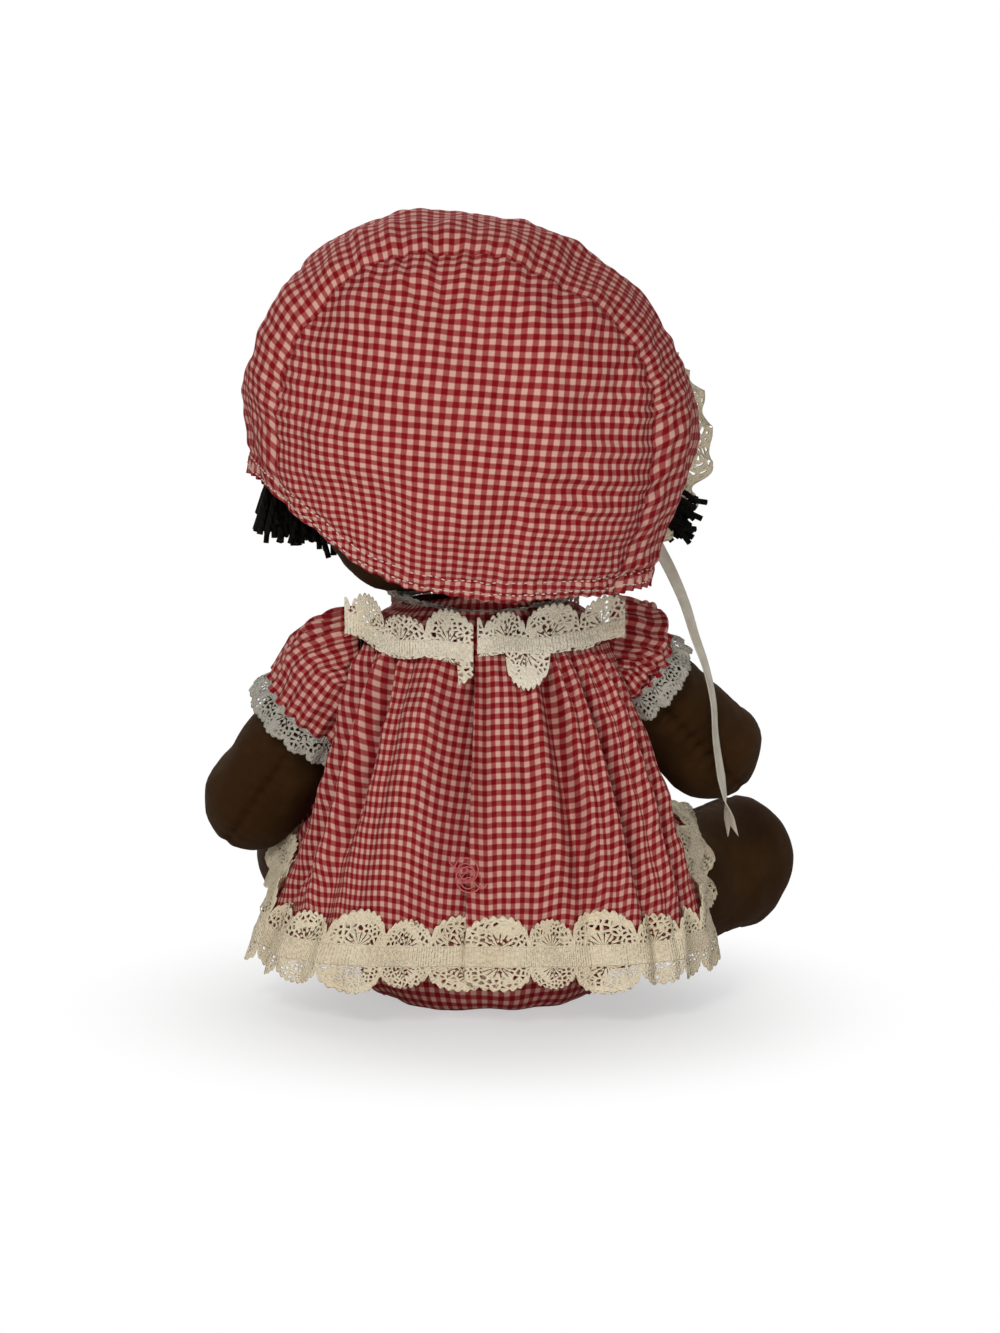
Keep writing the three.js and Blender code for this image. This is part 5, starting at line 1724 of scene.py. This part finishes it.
def cheek_strand(side):
    """One strand of the cut tuft that sticks out below the bonnet's edge at a cheek"""
    y = rng.uniform(-56, -34)
    if side > 0:
        x = rng.uniform(60, 84)
        root = np.array([x, y, hem_height(x) + 4])
        way = np.array([rng.uniform(0.0, 0.45), rng.uniform(-0.3, 0.3), rng.uniform(-1.0, -0.8)])
        length = rng.uniform(12, 20) + 9 * smooth(62, 78, x)
    else:
        root = np.array([-rng.uniform(66, 74), y, rng.uniform(190, 208)])
        way = np.array([-rng.uniform(0.6, 1.0), rng.uniform(-0.3, 0.2), rng.uniform(-0.7, -0.1)])
        length = rng.uniform(9, 17)
    knee = root + way * length * 0.5 + rng.normal(size=3) * 0.9
    tip = root + way * length + np.array([-side * rng.uniform(0, 3), 0, -rng.uniform(0, 3)])
    return spline([root - way * 5, root, knee, tip], 8)


fringe = [fringe_strand(turn) for turn in np.linspace(0.05, math.pi - 0.05, FRINGE_STRANDS)]
hair = {
    "fringe_yarn": (fringe, "hair_fringe"),
    "left_cheek_yarn": ([cheek_strand(1) for _ in range(LEFT_STRANDS)], "hair_left"),
    "right_cheek_yarn": ([cheek_strand(-1) for _ in range(RIGHT_STRANDS)], "hair_right"),
}
for name, (strands, node) in hair.items():
    tuft = along_lines(name, STRANDS, strands, black_yarn, Radius=1.25)
    sewn_on(tuft, "head", node)

# %% [markdown]
# ## Face
# Each eye is an oval in satin stitch: threads laid side by side, with a painted highlight of a few pale
# stitches in its upper part.
# The nose is a small brown oval of the same stitch and the mouth is two rows of red backstitch.

# %% Face
EYE_X, EYE_Z, EYE_HALF, EYE_TALL, GLINT_HALF = 23.0, 232.0, 4.6, 6.6, 1.3
NOSE_Z, NOSE_HALF, NOSE_TALL = 218, 3.4, 2.4
MOUTH_Z, MOUTH_HALF, SMILE = 200, 15, 6


def face_point(x, z, proud):
    """A point on the front of the head, a little outside the cotton"""
    side, rise = x / HEAD_SIZE[0], (z - HEAD[2]) / HEAD_SIZE[2]
    front = -math.sqrt(max(1 - side**2 - rise**2, 0))
    out = np.array([side / HEAD_SIZE[0], front / HEAD_SIZE[1], rise / HEAD_SIZE[2]])
    return HEAD + np.array([side, front, rise]) * HEAD_SIZE + out / np.linalg.norm(out) * proud


def satin_oval(x, z, half_width, half_height, pitch, proud=0.7):
    """Threads laid across an oval, one row each"""
    lines = []
    for level in np.arange(-half_height + pitch / 2, half_height, pitch):
        reach = half_width * math.sqrt(1 - (level / half_height) ** 2)
        across = np.linspace(-1, 1, 9)
        row = [face_point(x + reach * s, z + level, proud * (1 - 0.7 * s * s)) for s in across]
        lines.append(np.array(row))
    return lines


def mouth_row(lane):
    """One row of the mouth, which bends up at both corners"""
    across = np.linspace(-1, 1, 31)
    return np.array([face_point(MOUTH_HALF * s, MOUTH_Z - SMILE * (1 - s * s) + lane, 0.5) for s in across])


features = {}
for name, side in (("left_eye", 1), ("right_eye", -1)):
    oval = satin_oval(side * EYE_X, EYE_Z, EYE_HALF, EYE_TALL, pitch=0.75)
    eye = along_lines(f"{name}_stitches", STRANDS, oval, black_thread, Radius=0.5)
    features[name] = (eye, "black_thread")
    # A painted highlight: a small oval of pale thread high on each eye stands in for a glint of light.
    spot = satin_oval(side * EYE_X + 1.4, EYE_Z + 2.6, GLINT_HALF, GLINT_HALF, pitch=0.6, proud=1.4)
    glint = along_lines(f"{name}_light", STRANDS, spot, pale_thread, Radius=0.35)
    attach(glint, "head")
oval = satin_oval(0, NOSE_Z, NOSE_HALF, NOSE_TALL, pitch=0.6, proud=0.9)
nose = along_lines("nose_stitches", STRANDS, oval, brown_thread, Radius=0.42)
features["nose"] = (nose, "brown_cotton")
rows = [mouth_row(lane) for lane in (-0.5, 0.5)]
mouth = along_lines("mouth_stitches", STITCHES, rows, red_thread, Pitch=2.4, Length=2.9, Radius=0.55)
features["mouth"] = (mouth, "red_thread")
for node, (piece, slot) in features.items():
    sewn_on(piece, "head", node)

# %% Finish
low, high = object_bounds()
print("visual box", [round(v, 3) for v in (*low, *high)])
